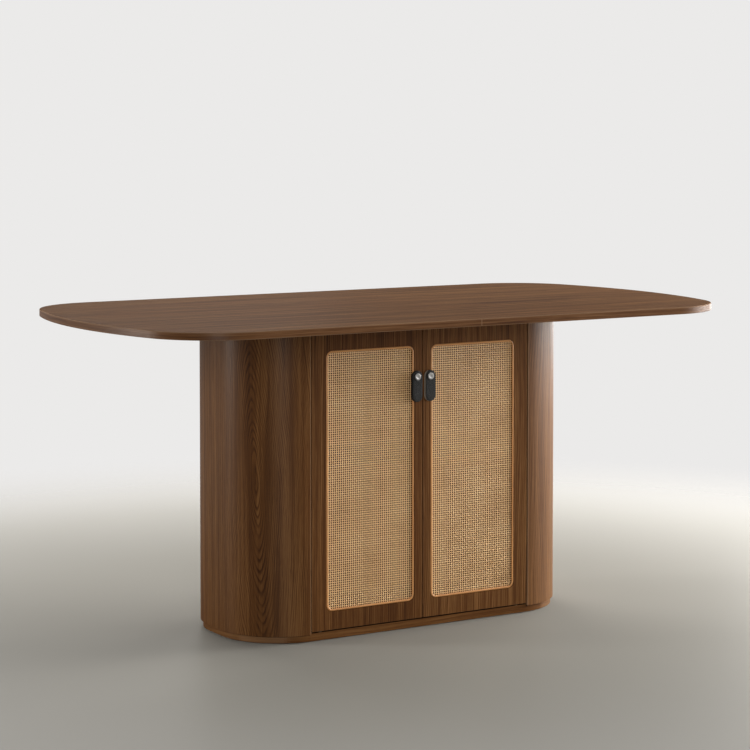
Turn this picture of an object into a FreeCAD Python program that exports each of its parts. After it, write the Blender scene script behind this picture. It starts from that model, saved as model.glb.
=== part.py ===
import FreeCAD
import Part

import math
import os

from FreeCAD import Placement, Rotation, Vector

# Kitchen table on a storage cabinet with two cane doors.
# Millimetres. The origin is on the floor under the middle of the table top,
# +X runs along the table, -Y is the side with the doors, +Z is up.

# ---------------------------------------------------------------- table top
table_length = 1600.0
table_width = 870.0
table_height = 750.0
top_thickness = 17.0
top_end_radius = 1085.0        # bow of the two short ends
top_corner_radius = 188.0
top_arris = 1.0                # eased edge all round
seam_gap = 0.3                 # between the two half tops
seam_dowel_shares = (0.16, 0.4)  # of the width, from the middle to each side

# ------------------------------------------------------------------ cabinet
cabinet_length = 910.0
cabinet_depth = 380.0
cabinet_corner_radius = 160.0
opening_length = 604.0         # between the two rounded end units
shell_thickness = 15.0         # bent skin of an end unit
partition_thickness = 16.0
board_thickness = 18.0         # base, cabinet top, back and shelf
end_base_thickness = 15.0
former_thickness = 18.0
base_recess = 6.0              # the base stands back from the skin above it
shadow_gap = 0.8               # skin above its base
panel_arris = 0.8
glue_gap = 0.2                 # bent skin to the boards inside it

# -------------------------------------------------------------------- shelf
shelf_height = 372.0           # underside of the shelf, above the floor
shelf_clearance = 1.0
shelf_setback = 40.0           # from the back of the doors
shelf_pin_radius = 2.5
shelf_pin_depth = 9.0          # in the partition
shelf_pin_reach = 8.0          # under the shelf
pin_row_inset = 37.0           # from the front and the back of the shelf
pin_pitch = 64.0
pin_rows = 3

# -------------------------------------------------------------------- doors
door_thickness = 18.0
door_recess = 1.0
door_side_gap = 2.5
door_centre_gap = 2.0
door_end_gap = 3.5             # above and below
hinge_stile = 38.0
free_stile = 22.0
rail_height = 43.0
door_arris = 0.8
cane_corner_radius = 16.0
rebate_depth = 5.0             # step in the front that takes the cane
rebate_ledge = 7.0
cane_thickness = 1.4
spline_width = 5.0
spline_setback = 0.2
spline_arris = 1.2
cane_clearance = 0.3

# -------------------------------------------------------------- door pivots
pivot_inset = 26.0             # from the door's hinge edge
pivot_setback = 2.0            # behind the middle of the door's thickness
pin_radius = 2.5
pin_clearance = 0.05
lower_pin_length = 15.0
upper_pin_length = 24.0
upper_pin_reach = 8.0          # below the sleeve's flange, into the door
bush_radius = 4.0
bush_depth = 14.0
bush_floor = 1.0
flange_radius = 5.5
flange_thickness = 1.0
washer_radius = 5.0
washer_clearance = 0.2
leaf_length = 33.0
leaf_width = 10.0
leaf_thickness = 3.0
leaf_screw_offset = 11.5
leaf_screw_length = 14.0
mortise_clearance = 0.1

# -------------------------------------------------------------------- pulls
pull_length = 73.5
pull_width = 28.0
pull_thickness = 7.5
pull_edge_distance = 3.0       # from the door's free edge
pull_drop = 102.0              # from the door's top edge
pull_arris = 1.2
pull_screw_head_radius = 8.0
pull_screw_head_height = 2.0
pull_screw_socket = 4.6        # across the flats
pull_screw_socket_depth = 1.3
pull_screw_radius = 2.0
pull_screw_length = 20.0

# ---------------------------------------------------------- magnetic catch
catch_length = 70.0
catch_height = 14.0
catch_depth = 15.0
magnet_width = 18.0
magnet_height = 7.0
magnet_depth = 9.0
magnet_spacing = 30.0
catch_air = 0.3                # magnet face to strike plate
catch_screw_inset = 4.5
strike_width = 22.0
strike_height = 12.0
strike_thickness = 1.2
strike_drop = 4.0              # from the door's top edge

# ---------------------------------------------------------------- fasteners
screw_radius = 2.0
screw_head_radius = 4.0
screw_clearance = 0.05
screw_end_room = 1.0           # past the tip
small_screw_radius = 1.5
small_screw_head_radius = 3.0
top_screw_length = 28.0
top_screw_shares = (0.25, 0.8)   # of half the opening, from its middle
top_screw_inset = 71.0         # from the cabinet's front and back
top_end_screw_distance = 50.0  # from the partition
base_screw_length = 28.0
base_screw_distance = 45.0     # from the partition
base_screw_inset = 95.0        # from the cabinet's front and back
back_screw_length = 45.0
plate_screw_length = 14.0
catch_screw_length = 12.0
dowel_radius = 4.0
dowel_length = 50.0
dowel_clearance = 0.05
dowel_end_room = 1.0           # at each end of a dowel
base_dowel_length = 40.0
plate_length = 120.0
plate_width = 36.0
plate_thickness = 3.0
plate_corner_radius = 6.0
plate_screw_end_inset = 20.0
plate_screw_side_inset = 9.0
cam_radius = 7.5
cam_height = 12.0
cam_distance = 34.0            # cam axis from the end of its board
cam_bolt_radius = 3.0
cam_bolt_anchor = 11.0         # in the partition
cam_clearance = 0.1
cam_drive_width = 1.2          # slot for the screwdriver
cam_drive_depth = 2.0
joint_inset = 105.0            # dowels and cams, from the cabinet's front and back
glide_radius = 12.0
glide_thickness = 1.5
glide_inset = 63.0             # from the cabinet's front and back
glide_end_inset = 50.0         # from the cabinet's ends
glide_distance = 30.0          # from the opening

# ------------------------------------------------------------------- levels
UP = Vector(0, 0, 1)
DOWN = Vector(0, 0, -1)
LEFT = -1
RIGHT = 1
SIDES = {"left": LEFT, "right": RIGHT}
FASTENER_SIDES = 6             # hidden fasteners have few faces
DISC_SIDES = 12                # glides, cams, screw heads and the outsides of bushes
CORNER_STEPS = 6               # facets of a small round corner
SOCKET_SIDES = 6
TOOL_ROOM = 1.0                # how far a cutting tool runs past a face
TOLERANCE = 1e-4

top_underside = table_height - top_thickness
base_top = glide_thickness + board_thickness
end_base_top = glide_thickness + end_base_thickness
cabinet_top_underside = top_underside - board_thickness
door_bottom = base_top + door_end_gap
door_top = cabinet_top_underside - door_end_gap
door_front = -cabinet_depth / 2 + door_recess
door_back = door_front + door_thickness
door_height = door_top - door_bottom
door_width = (opening_length - door_centre_gap) / 2 - door_side_gap
half_opening = opening_length / 2
base_front = -cabinet_depth / 2 + base_recess
back_inside = -door_back
pivot_x = half_opening - door_side_gap - pivot_inset
pivot_y = door_front + door_thickness / 2 + pivot_setback
shelf_front = door_back + shelf_setback
shelf_back = back_inside - shelf_clearance


# ------------------------------------------------------------ shape helpers
def box(x0, x1, y0, y1, z0, z1):
    """Block between two opposite corners, given in any order."""
    low = Vector(min(x0, x1), min(y0, y1), min(z0, z1))
    return Part.makeBox(abs(x1 - x0), abs(y1 - y0), abs(z1 - z0), low)


def rod(radius, start, direction, length):
    """Cylinder from a point along a direction."""
    return Part.makeCylinder(radius, length, start, direction)


def prism(wire, direction):
    """Solid swept from a flat closed wire."""
    return Part.Face(wire).extrude(direction)


def point_at(centre, radius, angle):
    """Point on a circle in a level plane."""
    return centre + Vector(radius * math.cos(angle), radius * math.sin(angle), 0)


def arc_about(centre, radius, start, end):
    """Edge on a circle in a level plane, from one angle to another."""
    middle = (start + end) / 2
    points = [point_at(centre, radius, angle) for angle in (start, middle, end)]
    return Part.Arc(*points).toShape()


def line(start, end):
    """Straight edge."""
    return Part.LineSegment(start, end).toShape()


def level_rectangle(length, width, radius, z):
    """Wire of a rectangle with round corners about the Z axis, in a level plane."""
    dx = length / 2 - radius
    dy = width / 2 - radius
    quarter = math.pi / 2
    corners = [(dx, -dy), (dx, dy), (-dx, dy), (-dx, -dy)]
    arcs = []
    for index, (x, y) in enumerate(corners):
        arcs.append(arc_about(Vector(x, y, z), radius, (index - 1) * quarter, index * quarter))
    edges = []
    for index, arc in enumerate(arcs):
        following = arcs[(index + 1) % len(arcs)]
        edges += [arc, line(arc.Vertexes[-1].Point, following.Vertexes[0].Point)]
    return Part.Wire(edges)


def stepped_rectangle(length, width, radius, centre, across, along):
    """Wire of a small rectangle with faceted round corners, in the plane of two unit vectors."""
    dx = length / 2 - radius
    dy = width / 2 - radius
    points = []
    for index, (sx, sy) in enumerate([(1, -1), (1, 1), (-1, 1), (-1, -1)]):
        for step in range(CORNER_STEPS + 1):
            angle = (index - 1 + step / CORNER_STEPS) * math.pi / 2
            x = sx * dx + radius * math.cos(angle)
            y = sy * dy + radius * math.sin(angle)
            point = centre + across * x + along * y
            if not points or point.distanceToPoint(points[-1]) > TOLERANCE:
                points.append(point)
    if points[-1].distanceToPoint(points[0]) < TOLERANCE:
        points.pop()
    return Part.makePolygon(points + points[:1])


def turned(shape, direction):
    """Shape built along +Z, turned to point along a direction."""
    moved = shape.copy()
    moved.Placement = Placement(Vector(0, 0, 0), Rotation(UP, direction))
    return moved


def placed(shape, point, direction):
    """Shape built along +Z from the origin, set at a point along a direction."""
    moved = turned(shape, direction)
    moved.translate(point)
    return moved


def level_edges(shape, heights):
    """Edges of a solid that lie flat at one of the given heights."""
    found = []
    for edge in shape.Edges:
        bounds = edge.BoundBox
        for height in heights:
            if abs(bounds.ZMin - height) < TOLERANCE and abs(bounds.ZMax - height) < TOLERANCE:
                found.append(edge)
    return found


def facing_edges(shape, y):
    """Edges of a solid that lie in the upright plane at the given Y."""
    found = []
    for edge in shape.Edges:
        bounds = edge.BoundBox
        if abs(bounds.YMin - y) < TOLERANCE and abs(bounds.YMax - y) < TOLERANCE:
            found.append(edge)
    return found


def cut_all(shape, tools):
    """Shape less every tool."""
    return shape.cut(tools) if tools else shape


def polygon(radius, sides, z):
    """Wire of a regular polygon in a level plane about the Z axis."""
    centre = Vector(0, 0, z)
    turn = 2 * math.pi / sides
    return Part.makePolygon([point_at(centre, radius, k * turn) for k in range(sides + 1)])


def faceted_rod(radius, start, direction, length, sides=FASTENER_SIDES):
    """Many-sided rod from a point along a direction."""
    return placed(prism(polygon(radius, sides, 0), UP * length), start, direction)


def countersunk_screw(head_radius, radius, length):
    """Flat-head screw along +Z, its head's face at the origin."""
    head_height = head_radius - radius
    rings = [polygon(head_radius, FASTENER_SIDES, 0), polygon(radius, FASTENER_SIDES, head_height),
             polygon(radius, FASTENER_SIDES, length)]
    faces = [Part.Face(rings[0]), Part.Face(rings[-1])]
    for lower, upper in zip(rings, rings[1:]):
        for side, other in zip(lower.Edges, upper.Edges):
            start, end = side.Vertexes[0].Point, side.Vertexes[1].Point
            above, before = other.Vertexes[1].Point, other.Vertexes[0].Point
            faces.append(Part.Face(Part.makePolygon([start, end, above, before, start])))
    solid = Part.makeSolid(Part.makeShell(faces))
    return solid if solid.Volume > 0 else solid.reversed()


def countersunk_hole(head_radius, radius, length):
    """Room for a flat-head screw, with clearance all round."""
    return countersunk_screw(head_radius + screw_clearance, radius + screw_clearance,
                             length + screw_end_room)


# ---------------------------------------------------------------- table top
def bowed_outline(z):
    """Wire of the table top: straight sides, bowed ends, round corners."""
    end_centre = table_length / 2 - top_end_radius
    corner_y = table_width / 2 - top_corner_radius
    reach = top_end_radius - top_corner_radius
    corner_x = end_centre + math.sqrt(reach ** 2 - corner_y ** 2)
    meet = math.atan2(corner_y, corner_x - end_centre)
    half_width = table_width / 2
    edges = [line(Vector(-corner_x, -half_width, z), Vector(corner_x, -half_width, z))]
    edges.append(arc_about(Vector(corner_x, -corner_y, z), top_corner_radius, -math.pi / 2, -meet))
    edges.append(arc_about(Vector(end_centre, 0, z), top_end_radius, -meet, meet))
    edges.append(arc_about(Vector(corner_x, corner_y, z), top_corner_radius, meet, math.pi / 2))
    edges.append(line(Vector(corner_x, half_width, z), Vector(-corner_x, half_width, z)))
    edges.append(arc_about(Vector(-corner_x, corner_y, z), top_corner_radius,
                           math.pi / 2, math.pi - meet))
    edges.append(arc_about(Vector(-end_centre, 0, z), top_end_radius, math.pi - meet, math.pi + meet))
    edges.append(arc_about(Vector(-corner_x, -corner_y, z), top_corner_radius,
                           math.pi + meet, 1.5 * math.pi))
    return Part.Wire(edges)


seam_dowel_places = [side * table_width * share for side in (-1, 1) for share in seam_dowel_shares]
plate_places = [side * (cabinet_depth + table_width) / 4 for side in (-1, 1)]
plate_screw_points = [
    Vector(sx * (plate_length / 2 - plate_screw_end_inset),
           place + sy * (plate_width / 2 - plate_screw_side_inset), top_underside - plate_thickness)
    for place in plate_places for sx in (-1, 1) for sy in (-1, 1)
]
top_screw_points = [
    Vector(sx * share * half_opening, sy * (cabinet_depth / 2 - top_screw_inset),
           cabinet_top_underside)
    for sy in (-1, 1) for sx in (-1, 1) for share in top_screw_shares
]
end_screw_points = [
    Vector(sx * (half_opening + partition_thickness + top_end_screw_distance), 0,
           cabinet_top_underside)
    for sx in (-1, 1)
]


def seam_dowels():
    """Dowels that line up the two half tops."""
    level = top_underside + top_thickness / 2
    return [faceted_rod(dowel_radius, Vector(-dowel_length / 2, y, level), Vector(1, 0, 0),
                        dowel_length) for y in seam_dowel_places]


def seam_dowel_holes():
    """Blind holes for the dowels, half in each top."""
    level = top_underside + top_thickness / 2
    length = dowel_length + 2 * dowel_end_room
    return [faceted_rod(dowel_radius + dowel_clearance, Vector(-length / 2, y, level),
                        Vector(1, 0, 0), length) for y in seam_dowel_places]


def joining_plates():
    """Flat steel plates across the seam, on the underside of the top."""
    hole = countersunk_hole(small_screw_head_radius, small_screw_radius, plate_screw_length)
    plates = []
    for y in plate_places:
        centre = Vector(0, y, top_underside - plate_thickness)
        outline = stepped_rectangle(plate_length, plate_width, plate_corner_radius, centre,
                                    Vector(1, 0, 0), Vector(0, 1, 0))
        plate = prism(outline, UP * plate_thickness)
        plates.append(cut_all(plate, [placed(hole, point, UP) for point in plate_screw_points]))
    return plates


def joining_plate_screws():
    """Screws of the joining plates."""
    screw = countersunk_screw(small_screw_head_radius, small_screw_radius, plate_screw_length)
    return [placed(screw, point, UP) for point in plate_screw_points]


def top_fixing_screws():
    """Screws that go up through the cabinet into the table top."""
    screw = countersunk_screw(screw_head_radius, screw_radius, top_screw_length)
    return [placed(screw, point, UP) for point in top_screw_points + end_screw_points]


def top_fixing_holes(points):
    """Countersunk holes for the fixing screws."""
    hole = countersunk_hole(screw_head_radius, screw_radius, top_screw_length)
    return [placed(hole, point, UP) for point in points]


def top_halves():
    """The two half tops, cut from one eased board."""
    board = prism(bowed_outline(top_underside), UP * top_thickness)
    board = board.makeChamfer(top_arris, level_edges(board, (top_underside, table_height)))
    plate_hole = countersunk_hole(small_screw_head_radius, small_screw_radius, plate_screw_length)
    tools = seam_dowel_holes() + top_fixing_holes(top_screw_points + end_screw_points)
    tools += [placed(plate_hole, point, UP) for point in plate_screw_points]
    board = cut_all(board, tools)
    halves = {}
    for name, side in SIDES.items():
        keep = box(side * seam_gap / 2, side * table_length, -table_width, table_width,
                   0, table_height * 2)
        halves[name] = board.common(keep)
    return halves


# ---------------------------------------------------------------- end units
def cabinet_outline(inset, z):
    """Wire of the cabinet's plan, moved in by the given distance."""
    return level_rectangle(cabinet_length - 2 * inset, cabinet_depth - 2 * inset,
                           cabinet_corner_radius - inset, z)


def beyond(side, x, shape):
    """The part of a shape that lies further out than x on one side."""
    return shape.common(box(side * x, side * table_length, -table_width, table_width,
                            -table_height, 2 * table_height))


def end_board(side, inset, inner_x, z, thickness):
    """Board with the rounded end's plan, from inner_x outwards."""
    board = prism(cabinet_outline(inset, z), UP * thickness)
    return beyond(side, inner_x, board)


def base_screw_points(side):
    """Places of the screws that join an end base to the lower former."""
    x = side * (half_opening + partition_thickness + base_screw_distance)
    y = cabinet_depth / 2 - base_screw_inset
    return [Vector(x, sy * y, glide_thickness) for sy in (-1, 1)]


def base_screw_holes(side):
    """Countersunk holes for the screws of an end base."""
    hole = countersunk_hole(screw_head_radius, screw_radius, base_screw_length)
    return [placed(hole, point, UP) for point in base_screw_points(side)]


def base_dowel_points():
    """Middles of the dowels that join the base board to the two end bases."""
    level = glide_thickness + end_base_thickness / 2
    y = cabinet_depth / 2 - joint_inset
    return [Vector(side * half_opening, sy * y, level) for side in SIDES.values() for sy in (-1, 1)]


def base_dowels():
    """Dowels between the base board and the end bases."""
    reach = Vector(base_dowel_length / 2, 0, 0)
    return [faceted_rod(dowel_radius, point - reach, Vector(1, 0, 0), base_dowel_length)
            for point in base_dowel_points()]


def base_dowel_holes():
    """Blind holes for the base dowels."""
    length = base_dowel_length + 2 * dowel_end_room
    return [faceted_rod(dowel_radius + dowel_clearance, point - Vector(length / 2, 0, 0),
                        Vector(1, 0, 0), length) for point in base_dowel_points()]


def end_base(side):
    """Recessed base of an end unit."""
    board = end_board(side, base_recess, half_opening, glide_thickness, end_base_thickness)
    return cut_all(board, base_screw_holes(side) + base_dowel_holes())


def end_shell(side):
    """Bent skin of an end unit: a half ring, open towards the middle."""
    bottom = end_base_top + shadow_gap
    height = top_underside - bottom
    outer = prism(cabinet_outline(0, bottom), UP * height)
    inner = prism(cabinet_outline(shell_thickness, bottom), UP * height)
    shell = beyond(side, half_opening, outer.cut(inner))
    front_edges = [edge for edge in shell.Edges
                   if abs(edge.Length - height) < TOLERANCE
                   and abs(edge.Vertexes[0].X - side * half_opening) < TOLERANCE
                   and abs(edge.Vertexes[0].Y) > cabinet_depth / 2 - shell_thickness / 2]
    return shell.makeChamfer(panel_arris, front_edges)


def end_former(side, z):
    """Board inside the skin, which the skin is glued round."""
    return end_board(side, shell_thickness + glue_gap, half_opening + partition_thickness,
                     z, former_thickness)


def former_levels():
    """Undersides of the three formers of an end unit."""
    lower = end_base_top
    upper = top_underside - former_thickness
    return {"lower": lower, "middle": (lower + upper) / 2, "upper": upper}


def partition(side):
    """Upright board that closes an end unit and carries the shelf."""
    inside = side * half_opening
    half_depth = cabinet_depth / 2 - shell_thickness
    board = box(inside, inside + side * partition_thickness, -half_depth, half_depth,
                end_base_top, top_underside)
    board = board.common(prism(cabinet_outline(shell_thickness + glue_gap, end_base_top),
                               UP * (top_underside - end_base_top)))
    start_x = inside + side * shelf_pin_depth
    holes = []
    for y in shelf_pin_rows():
        for step in range(-pin_rows // 2 + 1, pin_rows // 2 + 1):
            start = Vector(start_x, y, shelf_pin_level() + step * pin_pitch)
            holes.append(faceted_rod(shelf_pin_radius, start, Vector(-side, 0, 0),
                                     shelf_pin_depth))
    for x_side, y, z in cam_places():
        if x_side == side:
            start = Vector(inside + side * cam_bolt_anchor, y, z)
            holes.append(faceted_rod(cam_bolt_radius + cam_clearance, start,
                                     Vector(-side, 0, 0), cam_bolt_anchor))
    return cut_all(board, holes)


# ------------------------------------------------------------- middle boards
def cam_places():
    """Side, Y and Z of every cam bolt that meets a partition."""
    level = cabinet_top_underside + board_thickness / 2
    y = cabinet_depth / 2 - joint_inset
    return [(side, sy * y, level) for side in SIDES.values() for sy in (-1, 1)]


def cam_axis_x(side):
    """X of a cam's axis."""
    return side * (half_opening - cam_distance)


def cam_hole_depth():
    """Depth of a cam's hole: past the bolt, short of the far face."""
    return board_thickness / 2 + cam_height / 2


def cam_tools():
    """Cam pockets and bolt bores in the cabinet top, from above."""
    tools = []
    for side, y, z in cam_places():
        x = cam_axis_x(side)
        top = Vector(x, y, top_underside)
        tools.append(faceted_rod(cam_radius + cam_clearance, top, DOWN, cam_hole_depth(),
                                 DISC_SIDES))
        tools.append(faceted_rod(cam_bolt_radius + cam_clearance, Vector(x, y, z),
                                 Vector(side, 0, 0), cam_distance))
    return tools


def cam_bolts():
    """Bolts screwed into the partitions, with their heads in the cams."""
    bolts = []
    for side, y, z in cam_places():
        start = Vector(cam_axis_x(side), y, z)
        bolts.append(faceted_rod(cam_bolt_radius, start, Vector(side, 0, 0),
                                 cam_distance + cam_bolt_anchor))
    return bolts


def cam_discs():
    """Cams that pull the bolts tight, each with a slot for its bolt."""
    discs = []
    for side, y, z in cam_places():
        x = cam_axis_x(side)
        disc = faceted_rod(cam_radius, Vector(x, y, z + cam_height / 2), DOWN, cam_height,
                           DISC_SIDES)
        slot = faceted_rod(cam_bolt_radius + cam_clearance,
                           Vector(x - side * cam_bolt_radius, y, z),
                           Vector(side, 0, 0), 2 * cam_radius)
        drive = box(x - cam_radius / 2, x + cam_radius / 2, y - cam_drive_width / 2,
                    y + cam_drive_width / 2, z + cam_height / 2,
                    z + cam_height / 2 - cam_drive_depth)
        discs.append(disc.cut([slot, drive]))
    return discs


def back_screw_points():
    """Places of the upright screws that hold the back panel, under the base."""
    y = (back_inside + cabinet_depth / 2 - base_recess) / 2
    return [Vector(sx * half_opening / 2, y, glide_thickness) for sx in (-1, 1)]


def back_screw_holes():
    """Countersunk holes for the back panel's screws."""
    hole = countersunk_hole(screw_head_radius, screw_radius, back_screw_length)
    return [placed(hole, point, UP) for point in back_screw_points()]


def lower_bush_hole(side):
    """Blind hole in the base for a pivot bush."""
    centre = Vector(side * pivot_x, pivot_y, base_top)
    return faceted_rod(bush_radius, centre, DOWN, bush_depth, DISC_SIDES)


def upper_sleeve_hole(side):
    """Blind hole in the cabinet top for the upper pivot's sleeve."""
    centre = Vector(side * pivot_x, pivot_y, cabinet_top_underside)
    return faceted_rod(bush_radius, centre, UP, bush_depth, DISC_SIDES)


def base_board():
    """Middle of the base, between the two end units."""
    board = box(-half_opening, half_opening, base_front, -base_front, glide_thickness, base_top)
    tools = [lower_bush_hole(side) for side in SIDES.values()]
    tools += back_screw_holes() + base_dowel_holes()
    return cut_all(board, tools)


def cabinet_top_board():
    """Board under the table top, between the two end units."""
    board = box(-half_opening, half_opening, base_front, -base_front,
                cabinet_top_underside, top_underside)
    tools = [upper_sleeve_hole(side) for side in SIDES.values()]
    tools += top_fixing_holes(top_screw_points) + cam_tools()
    tools += catch_screw_holes()
    return cut_all(board, tools)


def back_panel():
    """Plain panel that closes the back."""
    panel = box(-half_opening, half_opening, back_inside, -door_front, base_top,
                cabinet_top_underside)
    return cut_all(panel, back_screw_holes())


def shelf_pin_level():
    """Height of the shelf pins' axes."""
    return shelf_height - shelf_pin_radius


def shelf_pin_rows():
    """Y of the front and the back row of pin holes."""
    return (shelf_front + pin_row_inset, shelf_back - pin_row_inset)


def shelf():
    """Loose shelf on four pins."""
    half = half_opening - shelf_clearance
    return box(-half, half, shelf_front, shelf_back, shelf_height, shelf_height + board_thickness)


def shelf_pins():
    """Pins that carry the shelf, pushed into the partitions."""
    pins = []
    for side in SIDES.values():
        for y in shelf_pin_rows():
            inner = Vector(side * (half_opening - shelf_pin_reach), y, shelf_pin_level())
            pins.append(faceted_rod(shelf_pin_radius, inner, Vector(side, 0, 0),
                                    shelf_pin_reach + shelf_pin_depth))
    return pins


# -------------------------------------------------------------------- doors
def door_edges_x(side):
    """X of a door's free edge and of its hinge edge."""
    free = side * door_centre_gap / 2
    return free, free + side * door_width


def cane_opening(side):
    """Centre, width and height of the step in the front of a door."""
    free, hinge = door_edges_x(side)
    low = free + side * free_stile
    high = hinge - side * hinge_stile
    centre = Vector((low + high) / 2, 0, (door_bottom + door_top) / 2)
    return centre, abs(high - low), door_height - 2 * rail_height


def upright_prism(side, margin, y0, y1):
    """Prism of the cane opening's outline, moved in by a margin, between two Y."""
    centre, width, height = cane_opening(side)
    outline = stepped_rectangle(width - 2 * margin, height - 2 * margin,
                                cane_corner_radius - margin, Vector(centre.x, y0, centre.z),
                                Vector(1, 0, 0), UP)
    return prism(outline, Vector(0, y1 - y0, 0))


def leaf_block(side, z0, z1, clearance):
    """Room or body of a pivot leaf in the end of a door."""
    half_length = leaf_length / 2 + clearance
    half_width = leaf_width / 2 + clearance
    x = side * pivot_x
    return box(x - half_length, x + half_length, pivot_y - half_width,
               pivot_y + half_width, z0, z1)


def leaf_screw_points(side, z):
    """Places of the two screws of a pivot leaf."""
    return [Vector(side * pivot_x + sx * leaf_screw_offset, pivot_y, z) for sx in (-1, 1)]


def leaf_screw_holes(side, z, direction):
    """Countersunk holes for a leaf's screws."""
    hole = countersunk_hole(small_screw_head_radius, small_screw_radius, leaf_screw_length)
    return [placed(hole, point, direction) for point in leaf_screw_points(side, z)]


def pull_centre(side):
    """Middle of a pull, on the door's face."""
    free = door_edges_x(side)[0]
    x = free + side * (pull_edge_distance + pull_width / 2)
    return Vector(x, door_front, door_top - pull_drop - pull_length / 2)


def pull_screw_point(side):
    """Centre of the pull's upper round end, on the door's face."""
    return pull_centre(side) + Vector(0, 0, (pull_length - pull_width) / 2)


def pull_screw_bore(side, clearance):
    """Room for the shank of a pull's screw."""
    start = pull_screw_point(side) - Vector(0, pull_thickness + TOOL_ROOM, 0)
    return faceted_rod(pull_screw_radius + clearance, start, Vector(0, 1, 0),
                       pull_screw_length + TOOL_ROOM + screw_end_room)


def strike_point(side):
    """Middle of a strike plate, on the back of the door."""
    x = side * magnet_spacing / 2
    z = door_top - strike_height / 2 - strike_drop
    return Vector(x, door_back, z)


def strike_screw_hole(side):
    """Room for a strike plate's screw."""
    hole = countersunk_hole(small_screw_head_radius, small_screw_radius, catch_screw_length)
    start = strike_point(side) + Vector(0, strike_thickness, 0)
    return placed(hole, start, Vector(0, -1, 0))


def door_frame(side):
    """Door panel with a stepped, round-cornered opening for the cane."""
    free, hinge = door_edges_x(side)
    panel = box(free, hinge, door_front, door_back, door_bottom, door_top)
    panel = panel.makeChamfer(door_arris, facing_edges(panel, door_front))
    tools = [upright_prism(side, 0, door_front, door_front + rebate_depth),
             upright_prism(side, rebate_ledge, door_front, door_back),
             leaf_block(side, door_bottom, door_bottom + leaf_thickness, mortise_clearance),
             leaf_block(side, door_top - leaf_thickness, door_top, mortise_clearance),
             faceted_rod(bush_radius, Vector(side * pivot_x, pivot_y, door_top), DOWN,
                         upper_pin_reach + leaf_thickness),
             pull_screw_bore(side, screw_clearance),
             strike_screw_hole(side)]
    tools += leaf_screw_holes(side, door_bottom, UP)
    tools += leaf_screw_holes(side, door_top, DOWN)
    return cut_all(panel, tools)


def cane_panel(side):
    """Sheet of cane webbing, laid in the step."""
    front = door_front + rebate_depth - cane_thickness
    return upright_prism(side, cane_clearance, front, door_front + rebate_depth)


def cane_spline(side):
    """Ring pressed over the edge of the cane."""
    front = door_front + spline_setback
    back = door_front + rebate_depth - cane_thickness
    ring = upright_prism(side, cane_clearance, front, back)
    ring = ring.cut(upright_prism(side, cane_clearance + spline_width, front - TOOL_ROOM,
                                  back + TOOL_ROOM))
    return ring.makeChamfer(spline_arris, facing_edges(ring, front))


def lower_leaf(side):
    """Plate in the door's bottom edge with the pin that stands in the base."""
    plate = leaf_block(side, door_bottom, door_bottom + leaf_thickness, 0)
    plate = plate.cut(leaf_screw_holes(side, door_bottom, UP))
    pin = rod(pin_radius, Vector(side * pivot_x, pivot_y, door_bottom + leaf_thickness),
              DOWN, leaf_thickness + lower_pin_length)
    return plate.fuse(pin).removeSplitter()


def upper_leaf(side):
    """Plate in the door's top edge with the bore that takes the upper pin."""
    plate = leaf_block(side, door_top - leaf_thickness, door_top, 0)
    bore = rod(pin_radius + pin_clearance, Vector(side * pivot_x, pivot_y, door_top),
               DOWN, leaf_thickness)
    return plate.cut(leaf_screw_holes(side, door_top, DOWN) + [bore])


def leaf_screws(side):
    """Screws of a door's two pivot leaves."""
    screw = countersunk_screw(small_screw_head_radius, small_screw_radius, leaf_screw_length)
    lower = [placed(screw, point, UP) for point in leaf_screw_points(side, door_bottom)]
    upper = [placed(screw, point, DOWN) for point in leaf_screw_points(side, door_top)]
    return lower + upper


def lower_bush(side):
    """Flanged bush in the base."""
    centre = Vector(side * pivot_x, pivot_y, base_top)
    bush = faceted_rod(bush_radius, centre, DOWN, bush_depth, DISC_SIDES)
    flange = faceted_rod(flange_radius, centre, UP, flange_thickness, DISC_SIDES)
    bore = rod(pin_radius + pin_clearance, centre + UP * flange_thickness, DOWN,
               flange_thickness + bush_depth - bush_floor)
    return bush.fuse(flange).removeSplitter().cut(bore)


def thrust_washer(side):
    """Washer that carries the door on the bush."""
    level = base_top + flange_thickness
    thickness = door_bottom - level - washer_clearance
    centre = Vector(side * pivot_x, pivot_y, level)
    ring = faceted_rod(washer_radius, centre, UP, thickness, DISC_SIDES)
    return ring.cut(rod(pin_radius + pin_clearance, centre, UP, thickness))


def upper_sleeve(side):
    """Flanged sleeve in the cabinet top that guides the upper pin."""
    centre = Vector(side * pivot_x, pivot_y, cabinet_top_underside)
    sleeve = faceted_rod(bush_radius, centre, UP, bush_depth, DISC_SIDES)
    flange = faceted_rod(flange_radius, centre, DOWN, flange_thickness, DISC_SIDES)
    bore = rod(pin_radius + pin_clearance, centre + DOWN * flange_thickness, UP,
               bush_depth + flange_thickness)
    return sleeve.fuse(flange).removeSplitter().cut(bore)


def upper_pin(side):
    """Sprung pin that comes down out of the sleeve into the door."""
    low = cabinet_top_underside - door_end_gap - upper_pin_reach
    return rod(pin_radius, Vector(side * pivot_x, pivot_y, low), UP, upper_pin_length)


# -------------------------------------------------------------------- pulls
def pull(side):
    """Thick leather tab with round ends."""
    outline = stepped_rectangle(pull_width, pull_length, pull_width / 2, pull_centre(side),
                                Vector(1, 0, 0), UP)
    tab = prism(outline, Vector(0, -pull_thickness, 0))
    tab = tab.makeChamfer(pull_arris, facing_edges(tab, door_front - pull_thickness))
    return tab.cut(pull_screw_bore(side, screw_clearance))


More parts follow.
